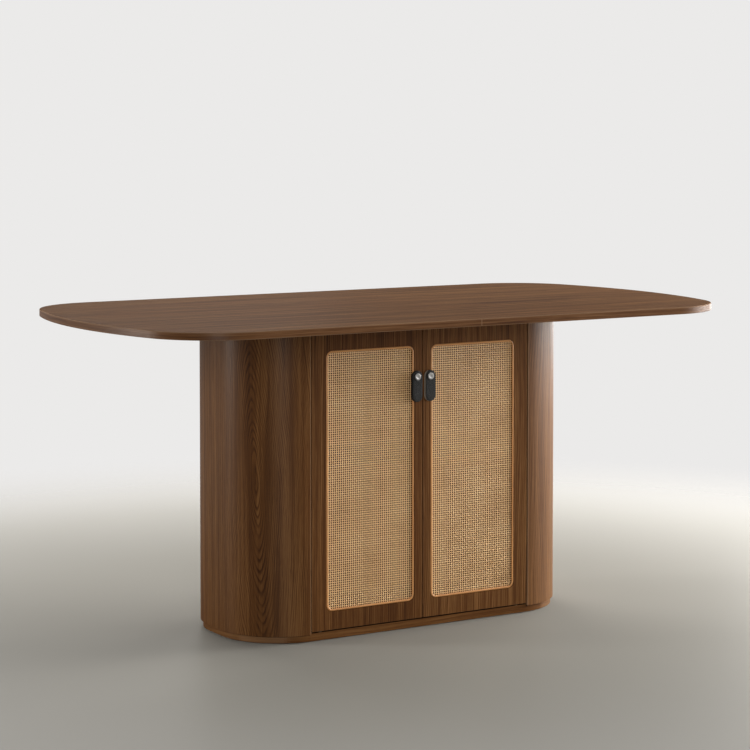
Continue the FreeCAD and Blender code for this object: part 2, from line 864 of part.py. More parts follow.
def pull_screw(side):
    """Round-headed screw with a hexagon socket."""
    face = pull_screw_point(side) - Vector(0, pull_thickness, 0)
    head = faceted_rod(pull_screw_head_radius, Vector(0, 0, 0), UP, pull_screw_head_height,
                       DISC_SIDES)
    head = head.makeChamfer(pull_screw_head_height / 2, level_edges(head, (0,)))
    shank = faceted_rod(pull_screw_radius, Vector(0, 0, pull_screw_head_height), UP,
                        pull_screw_length)
    corner_radius = pull_screw_socket / math.sqrt(3)
    socket = prism(polygon(corner_radius, SOCKET_SIDES, 0), UP * pull_screw_socket_depth)
    screw = head.fuse(shank).removeSplitter().cut(socket)
    return placed(screw, face - Vector(0, pull_screw_head_height, 0), Vector(0, 1, 0))


# ---------------------------------------------------------- magnetic catch
def catch_front():
    """Y of the magnets' faces."""
    return door_back + strike_thickness + catch_air


def catch_screw_points():
    """Places of the catch's two screws, on its underside."""
    y = catch_front() + catch_depth / 2
    z = cabinet_top_underside - catch_height
    return [Vector(sx * (catch_length / 2 - catch_screw_inset), y, z) for sx in (-1, 1)]


def catch_screw_holes():
    """Holes for the catch's screws."""
    hole = countersunk_hole(small_screw_head_radius, small_screw_radius,
                            catch_height + catch_screw_length)
    return [placed(hole, point, UP) for point in catch_screw_points()]


def magnet_box(sx, clearance):
    """Room or body of one magnet."""
    x = sx * magnet_spacing / 2
    z = strike_point(LEFT).z
    half_width = magnet_width / 2 + clearance
    half_height = magnet_height / 2 + clearance
    return box(x - half_width, x + half_width, catch_front(), catch_front() + magnet_depth,
               z - half_height, z + half_height)


def catch_housing():
    """Housing of the double catch, screwed up under the cabinet top."""
    front = catch_front()
    body = box(-catch_length / 2, catch_length / 2, front, front + catch_depth,
               cabinet_top_underside - catch_height, cabinet_top_underside)
    rooms = [magnet_box(sx, mortise_clearance) for sx in (-1, 1)]
    return body.cut(rooms + catch_screw_holes())


def catch_magnets():
    """The catch's two magnets."""
    return [magnet_box(sx, 0) for sx in (-1, 1)]


def catch_screws():
    """Screws of the catch."""
    screw = countersunk_screw(small_screw_head_radius, small_screw_radius,
                              catch_height + catch_screw_length)
    return [placed(screw, point, UP) for point in catch_screw_points()]


def strike_plate(side):
    """Steel plate that the magnet holds."""
    point = strike_point(side)
    plate = box(point.x - strike_width / 2, point.x + strike_width / 2, point.y,
                point.y + strike_thickness, point.z - strike_height / 2,
                point.z + strike_height / 2)
    return plate.cut(strike_screw_hole(side))


def strike_screw(side):
    """Screw of a strike plate."""
    screw = countersunk_screw(small_screw_head_radius, small_screw_radius, catch_screw_length)
    start = strike_point(side) + Vector(0, strike_thickness, 0)
    return placed(screw, start, Vector(0, -1, 0))


# ------------------------------------------------------------------- glides
def glides():
    """Low glides under the base."""
    places = []
    y = cabinet_depth / 2 - glide_inset
    for side in SIDES.values():
        places.append((side * (cabinet_length / 2 - glide_end_inset), 0))
        for x in (half_opening + glide_distance, half_opening / 3):
            places += [(side * x, -y), (side * x, y)]
    return [faceted_rod(glide_radius, Vector(x, y, 0), UP, glide_thickness, DISC_SIDES)
            for x, y in places]


# ------------------------------------------------------------------ the lot
def all_nodes():
    """Every piece by name: one solid, or a group of separate like solids."""
    nodes = {
        "top_seam_dowels": seam_dowels(),
        "top_joining_plates": joining_plates(),
        "joining_plate_screws": joining_plate_screws(),
        "top_fixing_screws": top_fixing_screws(),
        "base_board": [base_board()],
        "cabinet_top_board": [cabinet_top_board()],
        "back_panel": [back_panel()],
        "base_dowels": base_dowels(),
        "shelf": [shelf()],
        "shelf_pins": shelf_pins(),
        "cam_bolts": cam_bolts(),
        "cam_discs": cam_discs(),
        "glides": glides(),
        "catch_housing": [catch_housing()],
        "catch_magnets": catch_magnets(),
        "catch_screws": catch_screws(),
    }
    base_screw = countersunk_screw(screw_head_radius, screw_radius, base_screw_length)
    nodes["end_base_screws"] = [placed(base_screw, point, UP)
                                for side in SIDES.values() for point in base_screw_points(side)]
    back_screw = countersunk_screw(screw_head_radius, screw_radius, back_screw_length)
    nodes["back_panel_screws"] = [placed(back_screw, point, UP) for point in back_screw_points()]
    for part_name, maker in (("lower_pivot_bushes", lower_bush), ("pivot_washers", thrust_washer),
                             ("upper_pivot_sleeves", upper_sleeve),
                             ("upper_pivot_pins", upper_pin)):
        nodes[part_name] = [maker(side) for side in SIDES.values()]
    for name, half in top_halves().items():
        nodes["top_half_" + name] = [half]
    for name, side in SIDES.items():
        nodes[name + "_end_base"] = [end_base(side)]
        nodes[name + "_end_shell"] = [end_shell(side)]
        nodes[name + "_partition"] = [partition(side)]
        for level, z in former_levels().items():
            former = end_former(side, z)
            former = cut_all(former, base_screw_holes(side) + top_fixing_holes(end_screw_points))
            nodes["%s_%s_former" % (name, level)] = [former]
        nodes[name + "_door_frame"] = [door_frame(side)]
        nodes[name + "_cane_panel"] = [cane_panel(side)]
        nodes[name + "_cane_spline"] = [cane_spline(side)]
        nodes[name + "_lower_pivot_leaf"] = [lower_leaf(side)]
        nodes[name + "_upper_pivot_leaf"] = [upper_leaf(side)]
        nodes[name + "_pivot_screws"] = leaf_screws(side)
        nodes[name + "_pull"] = [pull(side)]
        nodes[name + "_pull_screw"] = [pull_screw(side)]
        nodes[name + "_strike_plate"] = [strike_plate(side)]
        nodes[name + "_strike_screw"] = [strike_screw(side)]
    return nodes


def main():
    """Write one file per node."""
    os.makedirs("parts", exist_ok=True)
    for name, solids in all_nodes().items():
        pieces = [solid for shape in solids for solid in shape.Solids]
        shape = pieces[0] if len(pieces) == 1 else Part.makeCompound(pieces)
        shape.exportStep(os.path.join("parts", name + ".step"))
        print("%-24s solids %d volume %.0f" % (name, len(pieces), shape.Volume))


main()
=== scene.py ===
"""Looks of a dining table that stands on a round-ended cabinet with two cane doors.

Every length is in metres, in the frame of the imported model: +X along the table, -Y towards
the doors, +Z up, with the origin on the floor under the middle of the top.
"""

import logging
import math
from dataclasses import dataclass, field
from enum import Enum
from typing import ClassVar, Iterable, Sequence, Union

import bmesh
import bpy
from mathutils import Matrix, Vector


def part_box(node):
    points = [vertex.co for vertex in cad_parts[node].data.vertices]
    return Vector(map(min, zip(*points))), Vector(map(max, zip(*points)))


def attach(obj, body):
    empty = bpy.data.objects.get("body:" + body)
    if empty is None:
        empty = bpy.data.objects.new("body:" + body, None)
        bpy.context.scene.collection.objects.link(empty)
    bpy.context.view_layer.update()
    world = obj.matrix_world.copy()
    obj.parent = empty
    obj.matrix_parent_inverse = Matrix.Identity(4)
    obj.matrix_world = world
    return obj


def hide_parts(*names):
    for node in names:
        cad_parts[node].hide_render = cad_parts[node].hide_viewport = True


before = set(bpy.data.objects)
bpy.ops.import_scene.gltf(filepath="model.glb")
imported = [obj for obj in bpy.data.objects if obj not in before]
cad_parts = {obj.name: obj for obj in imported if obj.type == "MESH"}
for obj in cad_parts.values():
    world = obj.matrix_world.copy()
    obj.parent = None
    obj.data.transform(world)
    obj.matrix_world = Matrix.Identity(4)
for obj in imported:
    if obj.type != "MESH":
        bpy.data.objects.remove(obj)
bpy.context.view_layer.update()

LOG = logging.getLogger("table")
MM = 0.001
WELD = 0.001 * MM

Colour = tuple[float, float, float]
Waves = tuple[float, float, float]
Span = tuple[float, float]
Value = Union[float, int, tuple, str, bpy.types.NodeSocket]


class Side(Enum):
    """The two halves of the table, with their sign along X."""

    LEFT = ("left", -1.0)
    RIGHT = ("right", 1.0)

    @property
    def word(self) -> str:
        """Name used in the nodes' names."""
        return self.value[0]

    @property
    def sign(self) -> float:
        """Sign of X on this side."""
        return self.value[1]

    @property
    def door_body(self) -> str:
        """Body that carries this side's door."""
        return f"{self.word}_door"


# ------------------------------------------------------------------ node trees
class Tree:
    """Short calls that wire a shader tree or a geometry tree."""

    def __init__(self, tree: bpy.types.NodeTree) -> None:
        """Keeps the tree that the calls add to.

        Args:
            tree: The node tree to fill.
        """
        self.tree = tree

    @classmethod
    def fresh(cls, owner: Union[bpy.types.Material, bpy.types.World]) -> "Tree":
        """Empties the tree of a material or a world.

        Args:
            owner: The material or the world.

        Returns:
            The empty tree.
        """
        owner.use_nodes = True
        owner.node_tree.nodes.clear()
        return cls(owner.node_tree)

    def add(self, kind: str, inputs: dict[Union[str, int], Value] | None = None,
            **settings: object) -> bpy.types.Node:
        """Adds a node.

        Args:
            kind: Blender's name of the node type.
            inputs: Values or sockets for its inputs, by name or index.
            **settings: Properties of the node itself.

        Returns:
            The new node.
        """
        node = self.tree.nodes.new(kind)
        for name, value in settings.items():
            setattr(node, name, value)
        self.fill(node, inputs or {})
        return node

    def out(self, kind: str, inputs: dict[Union[str, int], Value] | None = None,
            **settings: object) -> bpy.types.NodeSocket:
        """Adds a node as add does, and gives its first output."""
        return self.add(kind, inputs, **settings).outputs[0]

    def fill(self, node: bpy.types.Node, inputs: dict[Union[str, int], Value]) -> None:
        """Feeds several inputs of a node.

        Args:
            node: The node.
            inputs: Values or sockets for its inputs, by name or index.
        """
        for key, value in inputs.items():
            self.feed(node.inputs[key], value)

    def feed(self, socket: bpy.types.NodeSocket, value: Value) -> None:
        """Links a socket to an input, or sets the input's own value.

        Args:
            socket: The input.
            value: A socket to link, or a plain value.
        """
        if isinstance(value, bpy.types.NodeSocket):
            self.tree.links.new(value, socket)
        else:
            socket.default_value = value

    def maths(self, operation: str, *values: Value) -> bpy.types.NodeSocket:
        """Adds a Math node.

        Args:
            operation: Blender's name of the operation.
            *values: Its one to three inputs.

        Returns:
            The node's output.
        """
        return self.out("ShaderNodeMath", dict(enumerate(values)), operation=operation)

    def sum(self, *values: Value) -> bpy.types.NodeSocket:
        """Adds up values.

        Args:
            *values: Any number of values or sockets.

        Returns:
            Their sum.
        """
        total = values[0]
        for value in values[1:]:
            total = self.maths("ADD", total, value)
        return total

    def times(self, first: Value, second: Value) -> bpy.types.NodeSocket:
        """Multiplies two values."""
        return self.maths("MULTIPLY", first, second)

    def unsigned(self, value: Value) -> bpy.types.NodeSocket:
        """Takes the sign off a value."""
        return self.maths("ABSOLUTE", value)

    def distance(self, x: Value, y: Value) -> bpy.types.NodeSocket:
        """Measures how far a point of a plane lies from its origin."""
        squares = self.maths("ADD", self.times(x, x), self.times(y, y))
        return self.maths("SQRT", squares)

    def vector(self, operation: str, *values: Value) -> bpy.types.NodeSocket:
        """Adds a Vector Math node and returns its vector output."""
        node = self.add("ShaderNodeVectorMath", dict(enumerate(values)), operation=operation)
        return node.outputs["Vector"]

    def combine(self, x: Value, y: Value, z: Value = 0.0) -> bpy.types.NodeSocket:
        """Makes a vector out of three values."""
        return self.out("ShaderNodeCombineXYZ", {0: x, 1: y, 2: z})

    def split(self, vector: bpy.types.NodeSocket) -> list[bpy.types.NodeSocket]:
        """Takes a vector apart."""
        return list(self.add("ShaderNodeSeparateXYZ", {0: vector}).outputs)

    def point(self) -> bpy.types.NodeSocket:
        """Gives the point on the object."""
        return self.add("ShaderNodeTexCoord").outputs["Object"]

    def attribute(self, name: str) -> bpy.types.NodeSocket:
        """Gives the value of a mesh's attribute."""
        return self.add("ShaderNodeAttribute", attribute_name=name).outputs["Fac"]

    def noise(self, vector: Value, scale: float = 1.0, detail: float = 2.0,
              roughness: float = 0.5) -> bpy.types.NodeSocket:
        """Adds a noise in three dimensions.

        Args:
            vector: Where the noise is read.
            scale: Waves in one unit of the vector.
            detail: Finer octaves.
            roughness: Strength of each finer octave.

        Returns:
            The noise's value, about 0.5 on average.
        """
        return self.out("ShaderNodeTexNoise", {
            "Vector": vector, "Scale": scale, "Detail": detail, "Roughness": roughness})

    def grain(self, vector: Value, waves: Waves, detail: float = 2.0,
              roughness: float = 0.5) -> bpy.types.NodeSocket:
        """Adds a noise that is stretched along a grain.

        Args:
            vector: Where the noise is read.
            waves: Waves in one unit along each axis.
            detail: Finer octaves.
            roughness: Strength of each finer octave.

        Returns:
            The noise's value, about 0.5 on average.
        """
        return self.noise(self.vector("MULTIPLY", vector, waves), 1.0, detail, roughness)

    def swing(self, noise: bpy.types.NodeSocket, reach: float) -> bpy.types.NodeSocket:
        """Centres a noise on nought and scales it.

        Args:
            noise: A value about 0.5 on average.
            reach: Its whole spread after scaling.

        Returns:
            The scaled value.
        """
        return self.maths("MULTIPLY_ADD", noise, reach, -0.5 * reach)

    def step(self, value: Value, low: float, high: float, start: float = 0.0,
             end: float = 1.0) -> bpy.types.NodeSocket:
        """Maps a value smoothly from one range to another.

        Args:
            value: What is mapped.
            low: Value that gives start.
            high: Value that gives end.
            start: Result at and below low.
            end: Result at and above high.

        Returns:
            The mapped value.
        """
        return self.out("ShaderNodeMapRange", {
            "Value": value, "From Min": low, "From Max": high, "To Min": start, "To Max": end,
        }, interpolation_type="SMOOTHSTEP")

    def ramp(self, value: Value, *stops: tuple[float, Colour]) -> bpy.types.NodeSocket:
        """Adds a colour ramp.

        Args:
            value: Place on the ramp, from 0 to 1.
            *stops: Places and their colours, in order.

        Returns:
            The colour.
        """
        node = self.add("ShaderNodeValToRGB", {0: value})
        elements = node.color_ramp.elements
        while len(elements) < len(stops):
            elements.new(1.0)
        for element, (place, colour) in zip(elements, stops):
            element.position = place
            element.color = (*colour, 1.0)
        return node.outputs[0]

    def blend(self, factor: Value, first: Value, second: Value,
              kind: str = "MIX") -> bpy.types.NodeSocket:
        """Mixes two colours.

        Args:
            factor: Share of the second.
            first: Colour at factor 0.
            second: Colour at factor 1.
            kind: Blend type.

        Returns:
            The mixed colour.
        """
        node = self.add("ShaderNodeMix", data_type="RGBA", blend_type=kind)
        for index, value in ((0, factor), (6, first), (7, second)):
            self.feed(node.inputs[index], (*value, 1.0) if isinstance(value, tuple) else value)
        return node.outputs[2]

    def bump(self, height: Value, distance: float, strength: float) -> bpy.types.NodeSocket:
        """Adds a bump.

        Args:
            height: Height of the relief, from 0 to 1.
            distance: What a height of 1 stands for.
            strength: Share of the relief that is used.

        Returns:
            The bent normal.
        """
        return self.out("ShaderNodeBump", {
            "Height": height, "Distance": distance, "Strength": strength})


# -------------------------------------------------------------------- finishes
def darker(colour: Colour, share: float) -> Colour:
    """Gives a share of a colour's light."""
    return tuple(share * part for part in colour)


@dataclass(frozen=True)
class Finish:
    """A surface treatment that knows how to build its material."""

    name: str

    def build(self) -> bpy.types.Material:
        """Makes the material.

        Returns:
            A material with this finish's name.
        """
        material = bpy.data.materials.new(self.name)
        tree = Tree.fresh(material)
        shader = tree.add("ShaderNodeBsdfPrincipled")
        tree.add("ShaderNodeOutputMaterial", {"Surface": shader.outputs[0]})
        self.paint(tree, shader)
        return material

    def paint(self, tree: Tree, shader: bpy.types.Node) -> None:
        """Wires the finish to its shader.

        Args:
            tree: The material's tree.
            shader: Its principled shader.
        """
        raise NotImplementedError


class Lie(Enum):
    """Which way a veneer's grain runs."""

    UPRIGHT = "upright"
    LENGTHWISE = "lengthwise"


class Arris(Enum):
    """Where a board's eased arrises lie."""

    NONE = "none"
    SQUARE = "between square faces"
    SLOPING = "between level and upright faces"
    OPENING = "beside the doors"


@dataclass(frozen=True)
class Walnut(Finish):
    """Satin walnut veneer, cut from the rings of one flitch."""

    # Waves in a metre across the grain and along it. The last number keeps the seed.
    DRIFT: ClassVar[Waves] = (3.2, 1.3, 1.0)
    WAVER: ClassVar[Waves] = (30.0, 7.0, 1.0)
    BROAD: ClassVar[Waves] = (8.0, 0.55, 1.0)
    STREAK: ClassVar[Waves] = (105.0, 1.5, 1.0)
    FIBRE: ClassVar[Waves] = (520.0, 9.0, 1.0)
    PORE: ClassVar[Waves] = (1150.0, 34.0, 1.0)
    BREAK: ClassVar[Waves] = (70.0, 9.0, 1.0)
    WARMTH: ClassVar[Waves] = (6.8, 1.53, 1.7)

    # Stretches of those noises over which a pore, a warm patch or a whole ring sets in.
    OPEN_PORE: ClassVar[Span] = (0.58, 0.72)
    WARM_PATCH: ClassVar[Span] = (0.45, 0.75)
    WHOLE_RING: ClassVar[Span] = (0.32, 0.66)

    # How far a surface looks along an axis, from where it starts to count as a face of its kind.
    SQUARE_FACE: ClassVar[Span] = (0.88, 0.95)
    LEVEL_FACE: ClassVar[Span] = (0.86, 0.94)
    SLOPING_FACE: ClassVar[Span] = (0.2, 0.4)

    lie: Lie
    seed: float
    arris: Arris = Arris.NONE
    arris_share: float = 0.7        # how far the lighter arris tone, wear and a painted highlight, covers the arrises
    arris_end: Span = (303.4 * MM, 304.2 * MM)   # of the arris by the doors
    dark: Colour = (0.038, 0.0125, 0.0028)
    middle: Colour = (0.093, 0.0355, 0.0090)
    light: Colour = (0.175, 0.080, 0.026)
    worn: Colour = (0.260, 0.150, 0.080)
    warm: Colour = (1.0, 0.80, 0.62)    # tint of the redder patches
    warm_share: float = 0.22
    lacquer: float = 0.26           # share of the clear coat
    lacquer_roughness: float = 0.38
    lacquer_swing: float = 0.30     # how much of the coat the fibres take or add
    roughness: float = 0.6          # of the wood under the coat
    relief: float = 0.06 * MM
    tone: float = 0.5               # of the wood, from its dark to its light
    heart: float = 0.9              # how far across the flitch's heart lies
    cut_depth: float = 0.02         # of the heart, under the veneer
    cut_slope: float = 0.05         # rise of the heart along the grain
    heart_lean: float = 0.0         # of the heart, aside for each metre along the grain
    heart_shade: float = 0.0        # how much darker the wood is at the heart
    heart_reach: float = 0.075
    stripe: float | None = None     # how far aside of the heart a painted highlight stripe runs
    stripe_side: Span = (2.0 * MM, 13.0 * MM)    # over which it fades
    stripe_lift: float = 0.15       # how much paler it is
    ring_density: float = 185.0     # rings in a metre
    ring_wander: float = 3.0        # rings by which their distances differ
    ring_rise: float = 0.45         # share of a ring over which its tone rises
    ring_fall: float = 0.80         # share of a ring from which it falls back
    ring_gap: float = 0.62          # tone where a ring is broken
    ring_share: float = 0.26
    broad_share: float = 0.50
    streak_share: float = 0.95
    fibre_share: float = 0.45
    pore_share: float = 0.42
    arch_point: float = 1.6         # 2 for round arches, and less for pointed ones
    arch_squeeze: float = 1.0       # how much narrower than round the rings are
    island_reach: float = 0.0       # how much the heart's depth wanders
    island_waves: float = 4.5       # in a metre along the grain
    drift: float = 0.050            # how far the grain strays from straight
    waver: float = 0.0065           # the same, over a shorter length
    bend_centre: tuple[float, float] | None = None  # in plan, of a veneer bent round a curve
    bend_radius: float = 0.175

    def paint(self, tree: Tree, shader: bpy.types.Node) -> None:
        """Wires rings, streaks, fibres and pores to the shader.

        Args:
            tree: The material's tree.
            shader: Its principled shader.
        """
        across, along = self.directions(tree)
        plan = tree.combine(across, along, self.seed)
        drift = tree.grain(plan, self.DRIFT, detail=1.0)
        waver = tree.grain(plan, self.WAVER, detail=3.0)
        bent = tree.sum(across, tree.swing(drift, self.drift), tree.swing(waver, self.waver))
        moved = tree.combine(bent, along, self.seed)
        broad = tree.grain(moved, self.BROAD, detail=3.0, roughness=0.62)
        streak = tree.grain(moved, self.STREAK, detail=3.0, roughness=0.62)
        fibre = tree.grain(moved, self.FIBRE, roughness=0.6)
        pore = tree.step(tree.grain(moved, self.PORE, detail=1.0), *self.OPEN_PORE)
        tone = tree.sum(self.tone, tree.swing(self.rings(tree, bent, along), self.ring_share),
                        self.shade(tree, bent, along), tree.swing(broad, self.broad_share),
                        tree.swing(streak, self.streak_share),
                        tree.swing(fibre, self.fibre_share))
        wood = tree.ramp(tone, (0.12, self.dark), (0.50, self.middle), (0.88, self.light))
        redder = tree.step(tree.grain(moved, self.WARMTH), *self.WARM_PATCH, 0.0,
                           self.warm_share)
        wood = tree.blend(redder, wood, self.warm, "MULTIPLY")
        wood = tree.blend(tree.times(pore, self.pore_share), wood, self.dark)
        if self.arris is not Arris.NONE:
            # painted highlight and wear: the eased arrises get a lighter tone
            wood = tree.blend(tree.times(self.wear(tree), self.arris_share), wood, self.worn)
        height = tree.sum(tree.times(fibre, 0.5), tree.times(pore, -0.6))
        relief = tree.bump(height, self.relief, 0.7)
        tree.fill(shader, {
            "Base Color": wood,
            "Roughness": tree.sum(self.roughness, tree.swing(fibre, 0.10)),
            "Specular IOR Level": 0.0,
            "Coat Weight": tree.sum(self.lacquer,
                                    tree.swing(fibre, self.lacquer_swing * self.lacquer)),
            "Coat Roughness": self.lacquer_roughness,
            "Normal": relief,
            "Coat Normal": relief,
        })

    def directions(self, tree: Tree) -> tuple[bpy.types.NodeSocket, bpy.types.NodeSocket]:
        """Measures a point across and along the grain.

        Args:
            tree: The material's tree.

        Returns:
            The distance across, then the distance along.
        """
        x, y, z = tree.split(tree.point())
        if self.bend_centre:
            centre_x, centre_y = self.bend_centre
            turn = tree.maths("ARCTAN2", tree.maths("SUBTRACT", y, centre_y),
                              tree.unsigned(tree.maths("SUBTRACT", x, centre_x)))
            return tree.times(turn, self.bend_radius), z
        if self.lie is Lie.UPRIGHT:
            return tree.sum(x, y), z
        return tree.sum(y, z), x

    @staticmethod
    def facing(tree: Tree) -> list[bpy.types.NodeSocket]:
        """Measures how far a face looks along X, Y and Z of the object, either way.

        Args:
            tree: The material's tree.

        Returns:
            The three shares, from 0 to 1.
        """
        way = tree.add("ShaderNodeNewGeometry").outputs["True Normal"]
        own = tree.out("ShaderNodeVectorTransform", {"Vector": way}, vector_type="NORMAL",
                       convert_from="WORLD", convert_to="OBJECT")
        return tree.split(tree.vector("ABSOLUTE", own))

    def wear(self, tree: Tree) -> bpy.types.NodeSocket:
        """Finds the eased arrises, which get wear and a painted highlight.

        Args:
            tree: The material's tree.

        Returns:
            1 on an arris, and 0 on a face.
        """
        if self.arris is Arris.OPENING:
            aside = tree.unsigned(tree.split(tree.point())[0])
            return tree.step(aside, *self.arris_end, 1.0, 0.0)
        x, y, z = self.facing(tree)
        if self.arris is Arris.SLOPING:
            return tree.times(tree.step(z, *self.SLOPING_FACE),
                              tree.step(z, *self.LEVEL_FACE, 1.0, 0.0))
        squareness = tree.maths("MAXIMUM", x, tree.maths("MAXIMUM", y, z))
        return tree.step(squareness, *self.SQUARE_FACE, 1.0, 0.0)

    def aside(self, tree: Tree, across: bpy.types.NodeSocket,
              along: bpy.types.NodeSocket) -> bpy.types.NodeSocket:
        """Measures how far a point lies aside of the heart, which leans a little."""
        heart = tree.maths("MULTIPLY_ADD", along, self.heart_lean, self.heart)
        return tree.maths("SUBTRACT", across, heart)

    def shade(self, tree: Tree, across: bpy.types.NodeSocket,
              along: bpy.types.NodeSocket) -> bpy.types.NodeSocket:
        """Darkens the wood at the heart, and makes a stripe beside it paler as a painted
        highlight.

        Args:
            tree: The material's tree.
            across: Distance across the grain.
            along: Distance along the grain.

        Returns:
            What is added to the wood's tone.
        """
        aside = self.aside(tree, across, along)
        shade = tree.step(tree.unsigned(aside), 0.0, self.heart_reach, -self.heart_shade, 0.0)
        if self.stripe is None:
            return shade
        # painted highlight: a paler stripe beside the heart
        off = tree.unsigned(tree.maths("SUBTRACT", aside, self.stripe))
        return tree.sum(shade, tree.step(off, *self.stripe_side, self.stripe_lift, 0.0))

    def rings(self, tree: Tree, across: bpy.types.NodeSocket,
              along: bpy.types.NodeSocket) -> bpy.types.NodeSocket:
        """Cuts the rings round a heart that slopes under the veneer, which gives arches.

        Args:
            tree: The material's tree.
            across: Distance across the grain.
            along: Distance along the grain.

        Returns:
            The tone of the ring at each point, darkest in its late wood.
        """
        wander = tree.noise(tree.combine(self.seed, 0.0, along), self.island_waves, detail=1.0)
        aside = tree.unsigned(tree.times(self.aside(tree, across, along), self.arch_squeeze))
        depth = tree.unsigned(tree.sum(
            tree.maths("MULTIPLY_ADD", along, self.cut_slope, self.cut_depth),
            tree.swing(wander, self.island_reach)))
        powers = tree.sum(tree.maths("POWER", aside, self.arch_point),
                          tree.maths("POWER", depth, self.arch_point))
        radius = tree.maths("POWER", powers, 1.0 / self.arch_point)
        years = tree.noise(tree.combine(radius, 0.0, self.seed), self.ring_density / 4,
                           detail=1.0)
        growth = tree.maths("FRACT", tree.sum(tree.times(radius, self.ring_density),
                                              tree.swing(years, self.ring_wander)))
        late_wood = tree.times(tree.step(growth, 0.0, self.ring_rise),
                               tree.step(growth, self.ring_fall, 1.0, 1.0, 0.0))
        broken = tree.grain(tree.combine(across, along, self.seed), self.BREAK, detail=3.0)
        whole = tree.step(broken, *self.WHOLE_RING, 0.12, 1.0)
        return tree.blend(whole, (self.ring_gap,) * 3, late_wood)


@dataclass(frozen=True)
class EdgedWalnut(Walnut):
    """Walnut on a board whose upright edges carry a band that follows them."""

    # Waves in a metre along X, Y and Z.
    LINES: ClassVar[Waves] = (5.0, 5.0, 260.0)
    FINE_LINES: ClassVar[Waves] = (14.0, 14.0, 900.0)

    # How far up or down the surface looks, from where the band ends to where the face starts.
    FACE: ClassVar[Span] = (0.25, 0.35)

    band_colour: Colour = (1.0, 1.05, 1.35)
    band_lacquer: float = 0.32
    seam_share: float = 0.55
    seam_start: Span = (0.2 * MM, 0.5 * MM)  # from the middle of the table
    seam_end: Span = (2.2 * MM, 3.0 * MM)
    rub_height: Span = (746.5 * MM, 748.0 * MM)  # of the upper arris, painted lighter with wear and a painted highlight
    rub_share: float = 0.32
    bloom: Colour = (0.42, 0.40, 0.37)  # painted sheen: a pale cast mixed into the level face
    bloom_share: float = 0.07

    def paint(self, tree: Tree, shader: bpy.types.Node) -> None:
        """Wires the face's veneer, then the band's over it.

        Args:
            tree: The material's tree.
            shader: Its principled shader.
        """
        super().paint(tree, shader)
        face = shader.inputs["Base Color"].links[0].from_socket
        point = tree.point()
        lines = tree.grain(point, self.LINES, detail=3.0, roughness=0.6)
        tone = tree.sum(0.5, tree.swing(lines, 1.4),
                        tree.swing(tree.grain(point, self.FINE_LINES), 0.7))
        band = tree.ramp(tone, (0.05, self.dark), (0.42, self.middle), (0.85, self.light))
        band = tree.blend(1.0, band, self.band_colour, "MULTIPLY")
        x, _, z = tree.split(point)
        # painted highlight and wear on the band's upper arris, then beside the joint
        band = tree.blend(tree.step(z, *self.rub_height, 0.0, self.rub_share), band, self.worn)
        band = tree.blend(self.seam(tree, x), band, self.worn)
        level = tree.step(self.facing(tree)[2], *self.FACE)
        # painted sheen: the level face's colour is mixed with a pale grey
        sheened_face = tree.blend(self.bloom_share, face, self.bloom)
        tree.fill(shader, {
            "Base Color": tree.blend(level, band, sheened_face),
            "Coat Weight": tree.maths("MULTIPLY_ADD", level, self.lacquer - self.band_lacquer,
                                      self.band_lacquer),
        })

    def seam(self, tree: Tree, x: bpy.types.NodeSocket) -> bpy.types.NodeSocket:
        """Finds the arris beside the joint between the two halves, painted lighter with wear and a
        painted highlight.
        """
        # painted highlight and wear on the arris beside the joint
        return tree.times(tree.step(x, *self.seam_start, 0.0, self.seam_share),
                          tree.step(x, *self.seam_end, 1.0, 0.0))


@dataclass(frozen=True)
class BaseWalnut(Walnut):
    """Walnut of the base, with painted shade in the gap under the end skins and a painted shadow
    on the board below the doors.
    """

    # painted shade in the gap under the end skins
    gap_shade: Colour = (0.03, 0.03, 0.03)
    # painted shadow on the board's top below the doors
    rub_shade: Colour = (0.24, 0.23, 0.22)
    door_line: Span = (-176.0 * MM, -168.0 * MM)     # how far back the painted shadow under the doors reaches
    board_top: Span = (19.2 * MM, 19.4 * MM)
    board_end: Span = (301.5 * MM, 302.0 * MM)
    skin_line: Span = (14.6 * MM, 15.8 * MM)     # height of the gap

    def directions(self, tree: Tree) -> tuple[bpy.types.NodeSocket, bpy.types.NodeSocket]:
        """Measures a point across and along the grain, which runs level round the base."""
        x, y, z = tree.split(tree.point())
        return tree.maths("MULTIPLY_ADD", y, 0.04, z), tree.maths("MULTIPLY_ADD", y, 0.7, x)

    def paint(self, tree: Tree, shader: bpy.types.Node) -> None:
        """Wires the wood, then the painted shadow below the doors and the painted shade in the gap
        under the skins that darken it.

        Args:
            tree: The material's tree.
            shader: Its principled shader.
        """
        super().paint(tree, shader)
        wood = shader.inputs["Base Color"].links[0].from_socket
        x, y, z = tree.split(tree.point())
        under_door = tree.times(tree.step(z, *self.board_top),
                                tree.step(y, *self.door_line, 1.0, 0.0))
        under_skin = tree.times(tree.step(z, *self.skin_line),
                                tree.step(tree.unsigned(x), *self.board_end))
        # painted shadow below the doors, then painted shade in the gap under the end skins
        wear_and_shadow = tree.blend(under_door, wood, self.rub_shade, "MULTIPLY")
        tree.fill(shader, {
            "Base Color": tree.blend(under_skin, wear_and_shadow, self.gap_shade, "MULTIPLY")})


@dataclass(frozen=True)
class RawBoard(Finish):
    """Unfinished board or dowel, with faint fibres."""

    light: Colour
    dark: Colour
    waves: Waves = (40.0, 40.0, 300.0)
    roughness: float = 0.75

    def paint(self, tree: Tree, shader: bpy.types.Node) -> None:
        """Wires fibres to the shader.

        Args:
            tree: The material's tree.
            shader: Its principled shader.
        """
        fibre = tree.grain(tree.point(), self.waves, detail=3.0)
        tree.fill(shader, {
            "Base Color": tree.ramp(fibre, (0.3, self.dark), (0.7, self.light)),
            "Roughness": self.roughness,
            "Normal": tree.bump(fibre, 0.1 * MM, 0.5),
        })


